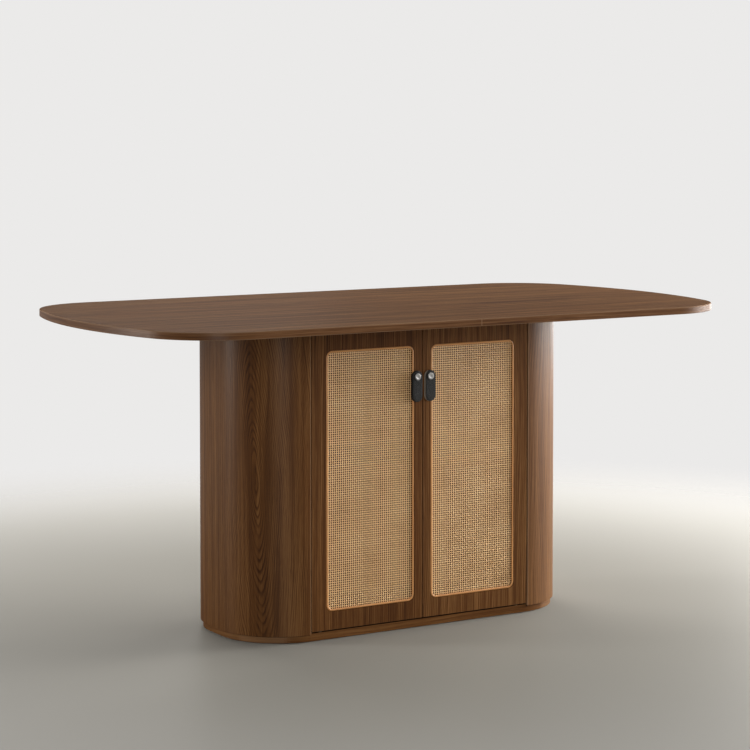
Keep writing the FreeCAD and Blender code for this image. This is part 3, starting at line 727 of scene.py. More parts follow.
@dataclass(frozen=True)
class Cane(Finish):
    """Glossy split cane, each strand of its own tone."""

    light: Colour = (0.930, 0.650, 0.350)
    middle: Colour = (0.820, 0.505, 0.240)
    dark: Colour = (0.450, 0.240, 0.088)
    roughness: float = 0.42
    strand_share: float = 0.14      # of the tone, from strand to strand
    fleck_share: float = 0.61
    patch_share: float = 0.30

    def paint(self, tree: Tree, shader: bpy.types.Node) -> None:
        """Wires the strands' tones and flecks to the shader.

        Args:
            tree: The material's tree.
            shader: Its principled shader.
        """
        fleck = tree.noise(tree.point(), scale=460.0, detail=3.0, roughness=0.6)
        patch = tree.noise(tree.point(), scale=14.0)
        tone = tree.sum(tree.times(tree.attribute("tone"), self.strand_share),
                        tree.times(fleck, self.fleck_share),
                        tree.times(patch, self.patch_share))
        tree.fill(shader, {
            "Base Color": tree.ramp(tone, (0.22, self.dark), (0.52, self.middle),
                                    (0.80, self.light)),
            "Roughness": tree.sum(self.roughness, tree.swing(fleck, 0.16)),
            "Normal": tree.bump(fleck, 0.08 * MM, 0.5),
        })


@dataclass(frozen=True)
class Reed(Finish):
    """Lacquered rattan reed, with fibres along it."""

    # Waves round the ring, and round the reed.
    FIBRE: ClassVar[Waves] = (18.0, 14.0, 1.0)
    PATCH: ClassVar[Waves] = (9.0, 0.0, 1.0)

    light: Colour = (0.640, 0.310, 0.105)
    dark: Colour = (0.360, 0.145, 0.040)
    roughness: float = 0.34

    def paint(self, tree: Tree, shader: bpy.types.Node) -> None:
        """Wires fibres that follow the reed to the shader.

        Args:
            tree: The material's tree.
            shader: Its principled shader.
        """
        place = tree.combine(tree.attribute("along"), tree.attribute("around"))
        fibre = tree.grain(place, self.FIBRE, detail=3.0)
        patch = tree.grain(place, self.PATCH)
        tone = tree.sum(tree.times(fibre, 0.6), tree.times(patch, 0.4))
        tree.fill(shader, {
            "Base Color": tree.ramp(tone, (0.30, self.dark), (0.68, self.light)),
            "Roughness": tree.sum(self.roughness, tree.swing(fibre, 0.12)),
            "Normal": tree.bump(fibre, 0.10 * MM, 0.5),
        })


@dataclass(frozen=True)
class Leather(Finish):
    """Pebbled leather."""

    colour: Colour = (0.0085, 0.0082, 0.0080)
    worn: Colour = (0.0170, 0.0162, 0.0156)
    pebble: float = 0.9 * MM
    warp: float = 1.1 * MM          # how far the pebbles stray
    roughness: float = 0.62
    gloss: float = 0.20
    relief: float = 0.16 * MM

    def paint(self, tree: Tree, shader: bpy.types.Node) -> None:
        """Wires the pebbles to the shader.

        Args:
            tree: The material's tree.
            shader: Its principled shader.
        """
        point = tree.point()
        stray = tree.noise(point, scale=260.0)
        shift = tree.vector("MULTIPLY", tree.combine(stray, stray, stray), (self.warp,) * 3)
        cells = tree.out("ShaderNodeTexVoronoi", {
            "Vector": tree.vector("ADD", point, shift), "Scale": 1.0 / self.pebble,
        }, feature="DISTANCE_TO_EDGE")
        raised = tree.step(cells, 0.0, 0.22)
        wear = tree.noise(point, scale=55.0, detail=3.0)
        wear_and_shadow = tree.times(raised, tree.step(wear, 0.35, 0.70, 0.35, 1.0))
        tree.fill(shader, {
            "Base Color": tree.blend(wear_and_shadow, self.colour, self.worn),
            "Specular IOR Level": self.gloss,
            "Roughness": tree.sum(self.roughness, tree.swing(wear, 0.14)),
            "Normal": tree.bump(raised, self.relief, 0.8),
        })


@dataclass(frozen=True)
class Metal(Finish):
    """Metal with fine scratches."""

    colour: Colour
    roughness: float = 0.28
    scratch: float = 0.10           # how much the scratches change the roughness
    soil: float = 0.80              # share of its light that the soiled metal keeps

    def paint(self, tree: Tree, shader: bpy.types.Node) -> None:
        """Wires scratches to the shader.

        Args:
            tree: The material's tree.
            shader: Its principled shader.
        """
        lines = tree.noise(tree.point(), scale=900.0, detail=3.0)
        soil = tree.step(tree.noise(tree.point(), scale=120.0, detail=3.0), 0.40, 0.75)
        tree.fill(shader, {
            "Base Color": tree.blend(soil, self.colour, darker(self.colour, self.soil)),
            "Metallic": 1.0,
            "Roughness": tree.sum(self.roughness, tree.swing(lines, self.scratch)),
            "Normal": tree.bump(lines, 0.03 * MM, 0.4),
        })


@dataclass(frozen=True)
class Moulded(Finish):
    """Moulded plastic, or another fine matt grain."""

    colour: Colour
    roughness: float = 0.48
    deep: float = 0.82              # share of its light that the darker cloud keeps

    def paint(self, tree: Tree, shader: bpy.types.Node) -> None:
        """Wires a fine spark-eroded grain to the shader.

        Args:
            tree: The material's tree.
            shader: Its principled shader.
        """
        grain = tree.noise(tree.point(), scale=2600.0, detail=1.0)
        cloud = tree.noise(tree.point(), scale=60.0, detail=3.0)
        tree.fill(shader, {
            "Base Color": tree.blend(tree.step(cloud, 0.35, 0.70),
                                     darker(self.colour, self.deep), self.colour),
            "Roughness": tree.sum(self.roughness, tree.swing(cloud, 0.08)),
            "Normal": tree.bump(grain, 0.05 * MM, 0.5),
        })


class Paintbox:
    """Every finish, built once and handed out by the record's slot name or by its own."""

    def __init__(self, finishes: Iterable[Finish]) -> None:
        """Builds the materials.

        Args:
            finishes: The finishes.
        """
        self.materials = {finish.name: finish.build() for finish in finishes}

    def __getitem__(self, name: str) -> bpy.types.Material:
        """Gives a material by its finish's name."""
        return self.materials[name]

    def dress(self, node: str, name: str) -> None:
        """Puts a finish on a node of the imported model.

        Args:
            node: The node's name.
            name: The finish's name.
        """
        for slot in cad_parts[node].material_slots:
            slot.material = self.materials[name]
        LOG.info("%s: %s", node, name)


# ---------------------------------------------------------------- mesh helpers
@dataclass(frozen=True)
class Station:
    """A place on an outline, with the way out of the shape there."""

    point: Vector
    outward: Vector


def rounded_outline(width: float, height: float, radius: float, steps: int) -> list[Station]:
    """Walks once round a rectangle with round corners, about the origin of the XZ plane.

    Args:
        width: Along X.
        height: Along Z.
        radius: Of the corners.
        steps: Facets in a corner.

    Returns:
        The stations, seen from -Y against the clock.
    """
    stations = []
    for index, (sx, sz) in enumerate(((1, -1), (1, 1), (-1, 1), (-1, -1))):
        corner = Vector((sx * (width / 2 - radius), 0.0, sz * (height / 2 - radius)))
        for step in range(steps + 1):
            angle = (index - 1 + step / steps) * math.pi / 2
            outward = Vector((math.cos(angle), 0.0, math.sin(angle)))
            stations.append(Station(corner + outward * radius, outward))
    return stations


def link_object(name: str, mesh: bpy.types.Mesh) -> bpy.types.Object:
    """Puts a mesh in the scene as an object at the origin.

    Args:
        name: Name of the object.
        mesh: Its mesh.

    Returns:
        The object.
    """
    piece = bpy.data.objects.new(name, mesh)
    bpy.context.scene.collection.objects.link(piece)
    return piece


def hand_over(piece: bpy.types.Object, body: str, slot: str, *nodes: str) -> bpy.types.Object:
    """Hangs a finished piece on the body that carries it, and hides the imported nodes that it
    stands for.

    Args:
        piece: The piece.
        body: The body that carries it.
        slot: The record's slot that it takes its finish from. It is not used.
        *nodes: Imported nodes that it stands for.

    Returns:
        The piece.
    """
    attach(piece, body)
    if nodes:
        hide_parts(*nodes)
    LOG.info("%s: %d faces, on %s, for %s", piece.name, len(piece.data.polygons), body,
             ", ".join(nodes) or "nothing")
    return piece


def stood_up(middle: Vector) -> Matrix:
    """Stands what lies in the XY plane upright at a point, with its upper face towards -Y."""
    return Matrix.Translation(middle) @ Matrix.Rotation(math.pi / 2, 4, "X")


def quarter_round(radius: float, steps: int) -> list[tuple[float, float]]:
    """Walks over a rounded edge, from the side to the face.

    Args:
        radius: Of the rounding.
        steps: Facets in it.

    Returns:
        How far each corner lies inside the side, and how far under the face.
    """
    turns = [step / steps * math.pi / 2 for step in range(steps + 1)]
    return [(radius * (1 - math.cos(turn)), radius * (1 - math.sin(turn))) for turn in turns]


def skin(mesh: bmesh.types.BMesh,
         rings: Sequence[Sequence[bmesh.types.BMVert]]) -> list[list[bmesh.types.BMFace]]:
    """Spans faces over rings of corners, and closes both ends.

    Args:
        mesh: The mesh that holds the corners.
        rings: The corners of each ring, in order along the shape.

    Returns:
        The faces that end at each ring but the first.
    """
    bands = []
    for lower, upper in zip(rings, rings[1:]):
        band = []
        for index in range(len(lower)):
            after = (index + 1) % len(lower)
            band.append(mesh.faces.new((lower[index], lower[after], upper[after], upper[index])))
        bands.append(band)
    bottom = mesh.faces.new(list(reversed(rings[0])))
    mesh.faces.new(rings[-1])
    for face in mesh.faces:
        face.smooth = True
    bottom.smooth = False
    return bands


def seal(name: str, mesh: bmesh.types.BMesh,
         materials: Sequence[bpy.types.Material]) -> bpy.types.Object:
    """Turns a closed mesh outwards and makes it an object.

    Args:
        name: Name of the piece.
        mesh: Its shape.
        materials: Its finishes.

    Returns:
        The object.
    """
    bmesh.ops.remove_doubles(mesh, verts=mesh.verts, dist=WELD)
    bmesh.ops.recalc_face_normals(mesh, faces=mesh.faces)
    data = bpy.data.meshes.new(name)
    mesh.to_mesh(data)
    mesh.free()
    for material in materials:
        data.materials.append(material)
    return link_object(name, data)


# ------------------------------------------------------------------ cane doors
class GrownMesh:
    """A geometry node tree that is grown once and turned into a plain mesh."""

    def __init__(self, name: str, sizes: dict[str, float]) -> None:
        """Starts a tree with one named input for each size.

        Args:
            name: Name of the tree and of the finished mesh.
            sizes: Names and values of its inputs.
        """
        self.name = name
        self.sizes = sizes
        self.group = bpy.data.node_groups.new(name, "GeometryNodeTree")
        interface = self.group.interface
        interface.new_socket("Geometry", in_out="OUTPUT", socket_type="NodeSocketGeometry")
        self.identifiers = {}
        for size, value in sizes.items():
            kind = "NodeSocketInt" if isinstance(value, int) else "NodeSocketFloat"
            socket = interface.new_socket(size, in_out="INPUT", socket_type=kind)
            self.identifiers[size] = socket.identifier
        self.tree = Tree(self.group)
        self.entry = self.tree.add("NodeGroupInput")

    def size(self, name: str) -> bpy.types.NodeSocket:
        """Gives the socket of a size."""
        return self.entry.outputs[name]

    def store(self, geometry: bpy.types.NodeSocket, name: str, value: Value,
              domain: str = "POINT") -> bpy.types.NodeSocket:
        """Stores a value on the geometry.

        Args:
            geometry: What gets it.
            name: Name of the attribute.
            value: The value.
            domain: What each value belongs to.

        Returns:
            The geometry with the attribute.
        """
        return self.tree.out("GeometryNodeStoreNamedAttribute", {
            "Geometry": geometry, "Name": name, "Value": value,
        }, data_type="FLOAT", domain=domain)

    def finish(self, geometry: bpy.types.NodeSocket, material: bpy.types.Material) -> None:
        """Ends the tree with its instances made real and its material set.

        Args:
            geometry: What the tree has made.
            material: The finish.
        """
        tree = self.tree
        smooth = tree.out("GeometryNodeSetShadeSmooth", {"Geometry": geometry})
        real = tree.out("GeometryNodeRealizeInstances", {"Geometry": smooth})
        dressed = tree.out("GeometryNodeSetMaterial", {"Geometry": real, "Material": material})
        tree.add("NodeGroupOutput", {0: dressed})

    def grow(self, low: Vector, high: Vector) -> bpy.types.Object:
        """Runs the tree and stands its result up in its room.

        Args:
            low: Lowest corner of the room.
            high: Highest corner.

        Returns:
            The finished object, with no modifier left.
        """
        carrier = link_object(self.name, bpy.data.meshes.new(self.name + "_seed"))
        modifier = carrier.modifiers.new("grow", "NODES")
        modifier.node_group = self.group
        for size, value in self.sizes.items():
            modifier[self.identifiers[size]] = value
        graph = bpy.context.evaluated_depsgraph_get()
        mesh = bpy.data.meshes.new_from_object(carrier.evaluated_get(graph), depsgraph=graph)
        carrier.modifiers.remove(modifier)
        mesh.name = self.name
        mesh.transform(stood_up((low + high) / 2))
        carrier.data = mesh
        return carrier


@dataclass(frozen=True)
class Webbing:
    """Open square cane webbing."""

    pitch: float = 5.25 * MM
    strand_width: float = 1.78 * MM
    crown_width: float = 1.3 * MM
    strand_thickness: float = 0.56 * MM
    lift: float = 0.32 * MM         # of a strand's middle, where it passes over another
    rest: float = 1.25 * MM         # half the stretch that lies flat over another strand
    tuck: float = 1.6 * MM          # how far inside the outline the strands end
    jitter: float = 0.03 * MM
    seed: int = 7

    def grow(self, name: str, low: Vector, high: Vector, radius: float,
             material: bpy.types.Material, seed: int) -> bpy.types.Object:
        """Weaves a sheet with round corners.

        Args:
            name: Name of the piece.
            low: Lowest corner of the room that it fills.
            high: Highest corner.
            radius: Of the corners.
            material: Its finish.
            seed: Number that the strands' differences start from.

        Returns:
            The woven sheet.
        """
        size = high - low
        grown = GrownMesh(name, {
            "Width": size.x, "Height": size.z, "Corner Radius": radius,
            "Upright Strands": round(size.x / self.pitch),
            "Level Strands": round(size.z / self.pitch),
            "Strand Width": self.strand_width, "Crown Width": self.crown_width,
            "Strand Thickness": self.strand_thickness, "Lift": self.lift, "Rest": self.rest,
            "Tuck": self.tuck, "Jitter": self.jitter, "Seed": self.seed + seed,
        })
        upright = self.strands(grown, upright=True)
        level = self.strands(grown, upright=False)
        both = grown.tree.add("GeometryNodeJoinGeometry")
        for strands in (level, upright):
            grown.tree.feed(both.inputs[0], strands)
        grown.finish(both.outputs[0], material)
        return grown.grow(low, high)

    def strands(self, grown: GrownMesh, upright: bool) -> bpy.types.NodeSocket:
        """Lays one of the two sets of strands, over and under the other.

        Args:
            grown: The tree.
            upright: True for the strands that run up the sheet.

        Returns:
            The strands as a mesh.
        """
        tree = grown.tree
        numbers, lengths = ["Upright Strands", "Level Strands"], ["Width", "Height"]
        if not upright:
            numbers.reverse()
            lengths.reverse()
        count, crossings = (grown.size(name) for name in numbers)
        across, along = (grown.size(name) for name in lengths)
        phase = 0.0 if upright else 1.0

        line = tree.out("GeometryNodeCurvePrimitiveLine")
        strand = tree.out("GeometryNodeResampleCurve", {
            "Curve": line, "Count": tree.times(crossings, 2.0)})
        row = tree.out("GeometryNodeMeshLine", {"Count": count, "Offset": (0.0, 0.0, 0.0)},
                       mode="OFFSET")
        copies = tree.out("GeometryNodeInstanceOnPoints", {"Points": row, "Instance": strand})
        numbered = grown.store(copies, "strand", tree.out("GeometryNodeInputIndex"), "INSTANCE")
        curves = tree.out("GeometryNodeRealizeInstances", {"Geometry": numbered})

        number = tree.add("GeometryNodeInputNamedAttribute", {"Name": "strand"},
                          data_type="FLOAT").outputs["Attribute"]
        step = tree.add("GeometryNodeSplineParameter").outputs["Index"]
        crossing = tree.maths("FLOOR", tree.maths("DIVIDE", step, 2.0))
        end = self.sign(tree, step)
        spread = tree.add("FunctionNodeRandomValue", {
            2: -1.0, 3: 1.0, "ID": number, "Seed": tree.sum(grown.size("Seed"), phase),
        }, data_type="FLOAT").outputs[1]
        aside = tree.sum(self.slot(tree, number, count, across),
                         tree.times(spread, grown.size("Jitter")))
        forward = tree.sum(self.slot(tree, crossing, crossings, along),
                           tree.times(end, grown.size("Rest")))
        rise = tree.times(self.sign(tree, tree.sum(number, crossing, phase)), grown.size("Lift"))
        flat = (aside, forward) if upright else (forward, aside)
        laid = tree.out("GeometryNodeSetPosition", {
            "Geometry": curves, "Position": tree.combine(*flat, rise)})
        kept = tree.out("GeometryNodeDeleteGeometry", {
            "Geometry": laid, "Selection": self.outside(grown)}, domain="POINT")
        level = tree.out("GeometryNodeSetCurveNormal", {"Curve": kept}, mode="Z_UP")
        toned = grown.store(level, "tone", tree.maths("MULTIPLY_ADD", spread, 0.5, 0.5))
        profile = tree.out("GeometryNodeCurvePrimitiveQuadrilateral", {
            "Height": grown.size("Strand Thickness"), "Bottom Width": grown.size("Strand Width"),
            "Top Width": grown.size("Crown Width"), "Offset": 0.0,
        }, mode="TRAPEZOID")
        return tree.out("GeometryNodeCurveToMesh", {
            "Curve": toned, "Profile Curve": profile, "Fill Caps": True})

    @staticmethod
    def sign(tree: Tree, number: bpy.types.NodeSocket) -> bpy.types.NodeSocket:
        """Gives 1 for an odd number, and -1 for an even one."""
        return tree.maths("MULTIPLY_ADD", tree.maths("MODULO", number, 2.0), 2.0, -1.0)

    @staticmethod
    def slot(tree: Tree, number: bpy.types.NodeSocket, count: bpy.types.NodeSocket,
             length: bpy.types.NodeSocket) -> bpy.types.NodeSocket:
        """Gives the middle of a numbered slot, of a length shared out evenly about nought."""
        share = tree.maths("DIVIDE", tree.sum(number, 0.5), count)
        return tree.times(tree.maths("SUBTRACT", share, 0.5), length)

    @staticmethod
    def outside(grown: GrownMesh) -> bpy.types.NodeSocket:
        """Finds the points that lie past the sheet's round-cornered outline.

        Args:
            grown: The tree.

        Returns:
            True outside.
        """
        tree = grown.tree
        x, y, _ = tree.split(tree.out("GeometryNodeInputPosition"))
        radius = grown.size("Corner Radius")
        past = []
        for value, size in ((x, "Width"), (y, "Height")):
            straight = tree.maths("SUBTRACT", tree.times(grown.size(size), 0.5), radius)
            beyond = tree.maths("SUBTRACT", tree.unsigned(value), straight)
            past.append(tree.maths("MAXIMUM", beyond, 0.0))
        limit = tree.maths("SUBTRACT", radius, grown.size("Tuck"))
        return tree.maths("GREATER_THAN", tree.distance(*past), limit)


@dataclass(frozen=True)
class ReedRing:
    """Round-faced reed pressed over the edge of the cane."""

    corner_steps: int = 10
    profile_steps: int = 20

    def grow(self, name: str, low: Vector, high: Vector, radius: float, width: float,
             material: bpy.types.Material) -> bpy.types.Object:
        """Bends a reed round a rectangle with round corners.

        Args:
            name: Name of the piece.
            low: Lowest corner of the room that it fills.
            high: Highest corner.
            radius: Of the outer corners.
            width: Of the reed.
            material: Its finish.

        Returns:
            The ring.
        """
        size = high - low
        grown = GrownMesh(name, {
            "Width": size.x - width, "Height": size.z - width,
            "Corner Radius": radius - width / 2, "Reed Width": width, "Reed Thickness": size.y,
            "Corner Steps": self.corner_steps, "Profile Steps": self.profile_steps,
        })
        tree = grown.tree
        outline = tree.out("GeometryNodeCurvePrimitiveQuadrilateral", {
            "Width": grown.size("Width"), "Height": grown.size("Height")}, mode="RECTANGLE")
        bent = tree.out("GeometryNodeFilletCurve", {
            "Curve": outline, "Radius": grown.size("Corner Radius"),
            "Count": grown.size("Corner Steps")}, mode="POLY")
        marked = self.mark(grown, bent, "along")
        level = tree.out("GeometryNodeSetCurveNormal", {"Curve": marked}, mode="Z_UP")
        circle = tree.out("GeometryNodeCurvePrimitiveCircle", {
            "Resolution": grown.size("Profile Steps"), "Radius": 0.5}, mode="RADIUS")
        bead = tree.out("GeometryNodeTransform", {
            "Geometry": circle,
            "Scale": tree.combine(grown.size("Reed Width"), grown.size("Reed Thickness"), 1.0)})
        reed = tree.out("GeometryNodeCurveToMesh", {
            "Curve": level, "Profile Curve": self.mark(grown, bead, "around")})
        grown.finish(reed, material)
        return grown.grow(low, high)

    @staticmethod
    def mark(grown: GrownMesh, curve: bpy.types.NodeSocket, name: str) -> bpy.types.NodeSocket:
        """Stores how far round a closed curve each point is, rising and falling again.

        Args:
            grown: The tree.
            curve: The curve.
            name: Name of the attribute.

        Returns:
            The curve with the attribute.
        """
        tree = grown.tree
        share = tree.add("GeometryNodeSplineParameter").outputs["Factor"]
        return grown.store(curve, name, tree.unsigned(tree.maths("SUBTRACT", share, 0.5)))


@dataclass(frozen=True)
class Pull:
    """Folded leather tab with a raw edge towards the other door, and its screw."""

    corner_steps: int = 14
    edge_steps: int = 4             # facets in a rounded edge
    rim: float = 1.5 * MM           # radius of the tab's front edge
    back_rim: float = 0.5 * MM      # chamfer of its back edge
    groove: float = 0.30 * MM       # between the two layers
    crown: float = 0.35 * MM        # by which the face is domed
    crown_shoulder: float = 3.3 * MM    # how far inside the edge the dome is nearly full
    crown_left: float = 0.35        # share of the dome that is left to rise there
    crown_flat: float = 5.4 * MM    # how far inside the edge the face is flat
    raw_edge_reach: float = 0.30    # how far round the outline the raw leather shows
    raw_edge_rings: int = 6         # how far towards the face it shows
    screw_segments: int = 48
    screw_rim: float = 0.55 * MM
    shank_radius: float = 2.0 * MM
    dish_radius: float = 4.3 * MM
    dish_depth: float = 0.30 * MM
    dish_slope: float = 0.5 * MM
    dish_lip: float = 0.4 * MM
    lip_depth: float = 0.05 * MM
    socket_width: float = 4.6 * MM
    socket_depth: float = 1.3 * MM
    socket_chamfer: float = 0.15 * MM
    sharp_angle: float = 35.0       # degrees

    def tab(self, side: Side, face: bpy.types.Material,
            raw: bpy.types.Material) -> bpy.types.Object:
        """Builds the tab.

        Args:
            side: Which door it is on.
            face: Finish of its outside.
            raw: Finish of its raw edge.

        Returns:
            The tab.
        """
        low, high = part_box(f"{side.word}_pull")
        middle, size = (low + high) / 2, high - low
        stations = rounded_outline(size.x, size.z, size.x / 2, self.corner_steps)
        layer = size.y / 2
        shoulder = size.y - self.crown
        levels = [(self.back_rim, 0.0), (0.0, self.back_rim), (0.0, layer - self.groove),
                  (self.groove, layer), (0.0, layer + self.groove)]
        levels += [(inset, shoulder - drop)
                   for inset, drop in quarter_round(self.rim, self.edge_steps)]
        levels += [(self.crown_shoulder, size.y - self.crown * self.crown_left),
                   (self.crown_flat, size.y)]
        mesh = bmesh.new()
        rings = [[mesh.verts.new(middle + station.point - station.outward * inset
                                 + Vector((0, layer - rise, 0))) for station in stations]
                 for inset, rise in levels]
        for ring, band in enumerate(skin(mesh, rings), start=1):
            for index, quad in enumerate(band):
                after = stations[(index + 1) % len(stations)]
                outward = (stations[index].outward + after.outward).normalized()
                inner = outward.x * -side.sign > self.raw_edge_reach
                quad.material_index = int(inner and ring <= self.raw_edge_rings)
        return seal(f"{side.word}_leather_pull", mesh, (face, raw))

    def screw(self, side: Side, metal: bpy.types.Material) -> bpy.types.Object:
        """Builds the round head with its hexagon socket.

        Args:
            side: Which door it is on.
            metal: Its finish.

        Returns:
            The head, with a short shank.
        """
        low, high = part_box(f"{side.word}_pull_screw")
        radius = (high.x - low.x) / 2
        centre = Vector(((low.x + high.x) / 2, low.y, (low.z + high.z) / 2))
        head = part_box(f"{side.word}_pull")[0].y - low.y
        flat = self.socket_width / 2
        round_part = [(self.shank_radius, high.y - low.y), (self.shank_radius, head),
                      (radius, head)]
        round_part += [(radius - inset, depth)
                       for inset, depth in quarter_round(self.screw_rim, self.edge_steps)]
        round_part += [(self.dish_radius + self.dish_lip, 0.0), (self.dish_radius, self.lip_depth),
                       (self.dish_radius - self.dish_slope, self.dish_depth)]
        socket = [(flat + self.socket_chamfer, self.dish_depth),
                  (flat, self.dish_depth + self.socket_chamfer), (flat, self.socket_depth)]
        angles = [2 * math.pi * index / self.screw_segments
                  for index in range(self.screw_segments)]
        mesh = bmesh.new()
        rings = []
        for index, (reach, depth) in enumerate(round_part + socket):
            ring = []
            for angle in angles:
                out = reach
                if index >= len(round_part):
                    out = reach / math.cos(angle % (math.pi / 3) - math.pi / 6)
                ring.append(mesh.verts.new(centre + Vector((
                    out * math.cos(angle), depth, out * math.sin(angle)))))
            rings.append(ring)
        skin(mesh, rings)
        piece = seal(f"{side.word}_pull_disc_screw", mesh, (metal,))
        piece.data.set_sharp_from_angle(angle=math.radians(self.sharp_angle))
        return piece


# ---------------------------------------------------------------- sub-assemblies
class SubAssembly:
    """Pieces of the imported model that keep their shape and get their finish."""

    def fittings(self) -> dict[str, str]:
        """Names the finish of each piece."""
        raise NotImplementedError

    def build(self, paints: Paintbox) -> None:
        """Dresses the pieces.

        Args:
            paints: The finishes.
        """
        for node, finish in self.fittings().items():
            paints.dress(node, finish)


@dataclass
class CaneDoor(SubAssembly):
    """One door: its veneered panel, woven cane, reed, pull and fittings."""

    side: Side
    corner_radius: float = 16.0 * MM
    reed_width: float = 5.0 * MM
    webbing: Webbing = field(default_factory=Webbing)
    reed: ReedRing = field(default_factory=ReedRing)
    pull: Pull = field(default_factory=Pull)

    def fittings(self) -> dict[str, str]:
        """Names the finish of each piece of the door that keeps its shape.

        Returns:
            The finishes by the names of their nodes.
        """
        word = self.side.word
        steel = ("lower_pivot_leaf", "upper_pivot_leaf", "pivot_screws", "strike_plate",
                 "strike_screw")
        return {f"{word}_door_frame": f"{word}_door_walnut",
                **{f"{word}_{part}": "zinc_steel" for part in steel}}

    def build(self, paints: Paintbox) -> None:
        """Builds and dresses the door's pieces.

        Args:
            paints: The finishes.
        """
        super().build(paints)
        word, body = self.side.word, self.side.door_body
        cane = self.webbing.grow(f"{word}_woven_cane", *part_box(f"{word}_cane_panel"),
                                 self.corner_radius, paints["cane"], int(self.side.sign))
        hand_over(cane, body, "cane", f"{word}_cane_panel")
        ring = self.reed.grow(f"{word}_reed", *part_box(f"{word}_cane_spline"),
                              self.corner_radius, self.reed_width, paints["rattan_spline"])
        hand_over(ring, body, "rattan_spline", f"{word}_cane_spline")
        tab = self.pull.tab(self.side, paints["black_leather"], paints["raw_leather"])
        hand_over(tab, body, "black_leather", f"{word}_pull")
        screw = self.pull.screw(self.side, paints["polished_steel"])
        hand_over(screw, body, "polished_steel", f"{word}_pull_screw")


@dataclass
class TableTop(SubAssembly):
    """The two half tops and what joins them."""

    def fittings(self) -> dict[str, str]:
        """Names the finish of each piece of the top."""
        return {
            "top_half_left": "walnut_top", "top_half_right": "walnut_top",
            "top_seam_dowels": "beech", "top_joining_plates": "zinc_steel",
            "joining_plate_screws": "zinc_steel", "top_fixing_screws": "zinc_steel",
        }


@dataclass
class EndUnit(SubAssembly):
    """One rounded end of the cabinet."""

    side: Side

    def fittings(self) -> dict[str, str]:
        """Names the finish of each piece of the unit.

        Returns:
            The finishes by the names of their nodes.
        """
        word = self.side.word
        formers = {f"{word}_{level}_former": "plywood" for level in ("lower", "middle", "upper")}
        return {f"{word}_end_shell": f"{word}_shell_walnut", f"{word}_end_base": "walnut_base",
                f"{word}_partition": "walnut_inside", **formers}


@dataclass
class Carcase(SubAssembly):
    """The boards between the two end units, with their fittings."""

    def fittings(self) -> dict[str, str]:
        """Names the finish of each board and fitting."""
        return {
            "base_board": "walnut_base", "cabinet_top_board": "walnut_inside",
            "back_panel": "walnut_back", "shelf": "walnut_inside", "base_dowels": "beech",
            "shelf_pins": "zinc_steel", "cam_bolts": "zinc_steel", "cam_discs": "zinc_steel",
            "end_base_screws": "zinc_steel", "back_panel_screws": "zinc_steel",
            "catch_screws": "zinc_steel", "catch_housing": "brown_plastic",
            "catch_magnets": "magnet", "glides": "nylon", "pivot_washers": "nylon",
            "lower_pivot_bushes": "brass", "upper_pivot_sleeves": "brass",
            "upper_pivot_pins": "zinc_steel",
        }


# ---------------------------------------------------------------------- studio
@dataclass(frozen=True)
class Softbox:
    """A large soft lamp."""

    name: str
    place: tuple[float, float, float]
    aim: tuple[float, float, float]
    width: float
    height: float
    power: float
    colour: Colour = (1.0, 0.985, 0.965)

    def hang(self) -> None:
        """Puts the lamp in the scene."""
        lamp = bpy.data.lights.new(self.name, "AREA")
        lamp.shape = "RECTANGLE"
        lamp.size = self.width
        lamp.size_y = self.height
        lamp.energy = self.power
        lamp.color = self.colour
        holder = bpy.data.objects.new(self.name, lamp)
        holder.location = self.place
        towards = Vector(self.aim) - Vector(self.place)
        holder.rotation_euler = towards.to_track_quat("-Z", "Y").to_euler()
        bpy.context.scene.collection.objects.link(holder)


